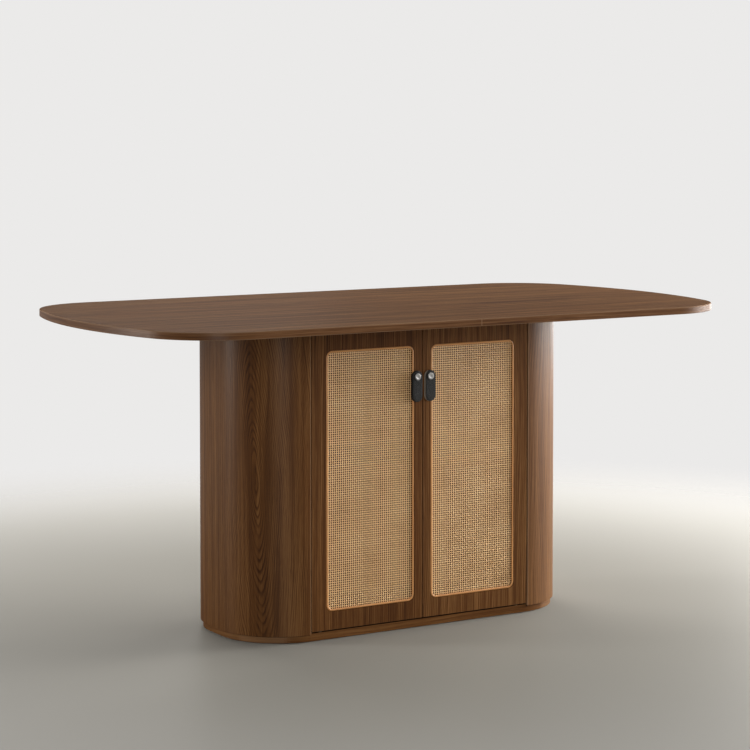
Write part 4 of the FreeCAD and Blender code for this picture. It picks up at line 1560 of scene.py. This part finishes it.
@dataclass
class Studio:
    """Pale floor, soft light and the camera."""

    floor_reach: float = 9.0
    floor_colour: Colour = (0.255, 0.246, 0.220)
    far_colour: Colour = (0.400, 0.391, 0.368)      # of the matt floor, away from the table
    floor_roughness: float = 0.8
    floor_gloss: float = 0.10       # coat of the floor beside the table
    gloss_roughness: float = 0.34
    gloss_start: float = 0.6        # from here out the floor turns matt
    gloss_end: float = 2.0
    fade_start: float = 1.4         # from here out it fades into the background
    fade_end: float = 2.6
    cloud_waves: float = 1.3
    cloud_shade: Colour = (0.965, 0.965, 0.965)
    wall_colour: Colour = (0.831, 0.823, 0.815)
    sky_colour: Colour = (1.0, 0.992, 0.98)
    sky_strength: float = 0.18
    room_strength: float = 0.15     # what gloss shows of the room in front
    room_edge: Span = (-0.25, 0.20)  # along Y, from that room to the wall
    camera_place: tuple[float, float, float] = (-2.839940, -4.650770, 1.214540)
    camera_yaw: float = 0.54568
    camera_pitch: float = -0.04986
    focal_pixels: float = 2261.99
    frame_pixels: int = 750
    sensor: float = 36.0
    shift: float = -0.20
    clip_end: float = 100.0
    lamps: tuple[Softbox, ...] = (
        Softbox("key_from_right", (4.4, -0.5, 1.45), (0.4, 0.0, 0.45), 2.0, 2.2, 330.0),
        Softbox("behind_right", (4.0, 1.9, 1.25), (0.4, 0.0, 0.6), 2.0, 2.2, 130.0),
        Softbox("strip_from_left", (-3.9, 2.0, 1.3), (-0.4, 0.0, 0.4), 0.8, 2.2, 98.0),
        Softbox("strip_by_camera", (-2.9, -5.9, 1.7), (0.0, 0.0, 0.4), 1.1, 2.4, 124.0),
        Softbox("window_right", (3.9, -1.9, 1.2), (0.4, 0.0, 0.5), 0.9, 1.6, 75.0),
        Softbox("front_right", (2.6, -3.8, 2.2), (0.0, 0.0, 0.4), 2.0, 2.0, 40.0),
        Softbox("behind", (0.5, 3.6, 2.6), (0.0, 0.0, 0.7), 3.0, 2.0, 148.0),
    )

    def build(self) -> None:
        """Sets up floor, world, lamps and camera."""
        self.floor()
        self.world()
        for lamp in self.lamps:
            lamp.hang()
        self.camera()

    def floor(self) -> None:
        """Lays a pale floor that fades into the background."""
        mesh = bpy.data.meshes.new("floor")
        reach = self.floor_reach
        corners = [(-reach, -reach, 0), (reach, -reach, 0), (reach, reach, 0), (-reach, reach, 0)]
        mesh.from_pydata(corners, [], [(0, 1, 2, 3)])
        link_object("floor", mesh)
        material = bpy.data.materials.new("pale_floor")
        tree = Tree.fresh(material)
        point = tree.point()
        x, y, _ = tree.split(point)
        distance = tree.distance(x, y)
        away = tree.step(distance, self.gloss_start, self.gloss_end)
        plain = tree.blend(away, self.floor_colour, self.far_colour)
        cloudy = tree.blend(1.0, plain, self.cloud_shade, "MULTIPLY")
        paint = tree.out("ShaderNodeBsdfPrincipled", {
            "Base Color": tree.blend(tree.noise(point, scale=self.cloud_waves), cloudy, plain),
            "Roughness": self.floor_roughness, "Specular IOR Level": 0.0,
            "Coat Weight": tree.maths("MULTIPLY_ADD", away, -self.floor_gloss, self.floor_gloss),
            "Coat Roughness": self.gloss_roughness,
        })
        faded = tree.out("ShaderNodeMixShader", {
            0: tree.step(distance, self.fade_start, self.fade_end), 1: paint,
            2: tree.out("ShaderNodeBsdfTransparent")})
        tree.add("ShaderNodeOutputMaterial", {"Surface": faded})
        mesh.materials.append(material)

    def world(self) -> None:
        """Sets a plain soft sky, which the camera and reflections see as a pale wall."""
        world = bpy.data.worlds.new("studio")
        bpy.context.scene.world = world
        tree = Tree.fresh(world)
        path = tree.add("ShaderNodeLightPath").outputs
        back = tree.split(tree.add("ShaderNodeTexCoord").outputs["Generated"])[1]
        gloss = tree.maths("MAXIMUM", path["Is Glossy Ray"], path["Is Transmission Ray"])
        shine = tree.times(gloss, tree.step(back, *self.room_edge, self.room_strength))
        seen = tree.maths("MINIMUM", tree.sum(path["Is Camera Ray"], shine), 1.0)
        light = tree.out("ShaderNodeBackground", {
            "Color": (*self.sky_colour, 1.0), "Strength": self.sky_strength})
        wall = tree.out("ShaderNodeBackground", {
            "Color": (*self.wall_colour, 1.0), "Strength": 1.0})
        mixed = tree.out("ShaderNodeMixShader", {0: seen, 1: light, 2: wall})
        tree.add("ShaderNodeOutputWorld", {"Surface": mixed})

    def camera(self) -> None:
        """Sets the camera."""
        scene = bpy.context.scene
        data = bpy.data.cameras.new("camera")
        data.sensor_width = self.sensor
        data.lens = self.sensor * self.focal_pixels / self.frame_pixels
        data.shift_y = self.shift
        data.clip_end = self.clip_end
        camera = bpy.data.objects.new("camera", data)
        camera.location = self.camera_place
        camera.rotation_euler = (math.pi / 2 + self.camera_pitch, 0.0, -self.camera_yaw)
        scene.collection.objects.link(camera)
        scene.camera = camera
        scene.view_settings.view_transform = "Standard"


def all_finishes() -> list[Finish]:
    """Lists every finish of the table, by the part or the slot that it is for."""
    return [
        EdgedWalnut("walnut_top", Lie.LENGTHWISE, 3.1, Arris.SLOPING, lacquer=0.03,
                    lacquer_roughness=0.34, ring_share=0.40, broad_share=0.45, streak_share=2.0,
                    fibre_share=1.0),
        Walnut("left_shell_walnut", Lie.UPRIGHT, 11.7, Arris.OPENING, lacquer=0.29, tone=0.54,
               heart=-0.166, heart_lean=0.05, heart_shade=0.20, heart_reach=0.060,
               cut_depth=-0.066, cut_slope=0.178, stripe=-0.062, ring_density=220.0,
               ring_share=0.46, arch_point=1.65, arch_squeeze=1.25, island_reach=0.014,
               drift=0.012, waver=0.011, bend_centre=(-0.295, 0.0)),
        Walnut("right_shell_walnut", Lie.UPRIGHT, 23.9, Arris.OPENING, lacquer=0.42, tone=0.60,
               heart=-0.1, cut_depth=0.12, cut_slope=0.05, bend_centre=(0.295, 0.0)),
        Walnut("left_door_walnut", Lie.UPRIGHT, 31.3, Arris.SQUARE, arris_share=0.25, tone=0.42,
               ring_share=0.36, fibre_share=0.70, streak_share=1.1),
        Walnut("right_door_walnut", Lie.UPRIGHT, 47.2, Arris.SQUARE, arris_share=0.25, tone=0.54,
               ring_share=0.40, fibre_share=0.80, streak_share=1.2),
        BaseWalnut("walnut_base", Lie.LENGTHWISE, 5.9, Arris.SQUARE, arris_share=0.35),
        # walnut_inside is darker than the outer veneer: painted shade for the cabinet's inside,
        # seen through the cane
        Walnut("walnut_inside", Lie.UPRIGHT, 61.4, tone=0.34),
        Walnut("walnut_back", Lie.UPRIGHT, 71.8, heart=0.1, cut_depth=-0.05, cut_slope=0.12),
        RawBoard("plywood", (0.60, 0.43, 0.25), (0.44, 0.29, 0.16)),
        RawBoard("beech", (0.66, 0.46, 0.28), (0.54, 0.35, 0.20), (300.0, 300.0, 300.0)),
        Cane("cane"),
        Reed("rattan_spline"),
        Leather("black_leather"),
        Leather("raw_leather", colour=(0.320, 0.275, 0.225), worn=(0.480, 0.420, 0.350),
                pebble=0.35 * MM, roughness=0.85, relief=0.10 * MM),
        Metal("polished_steel", (0.50, 0.49, 0.48), roughness=0.34),
        Metal("zinc_steel", (0.48, 0.49, 0.50), roughness=0.46),
        Metal("brass", (0.20, 0.13, 0.06), roughness=0.45),
        Moulded("nylon", (0.045, 0.034, 0.027)),
        Moulded("brown_plastic", (0.080, 0.048, 0.030)),
        Moulded("magnet", (0.060, 0.060, 0.062), roughness=0.60),
    ]


def main() -> None:
    """Builds and dresses every sub-assembly."""
    logging.basicConfig(level=logging.INFO, format="%(name)s %(message)s")
    Studio().build()
    paints = Paintbox(all_finishes())
    TableTop().build(paints)
    for side in Side:
        EndUnit(side).build(paints)
        CaneDoor(side).build(paints)
    Carcase().build(paints)


if __name__ == "__main__":
    main()
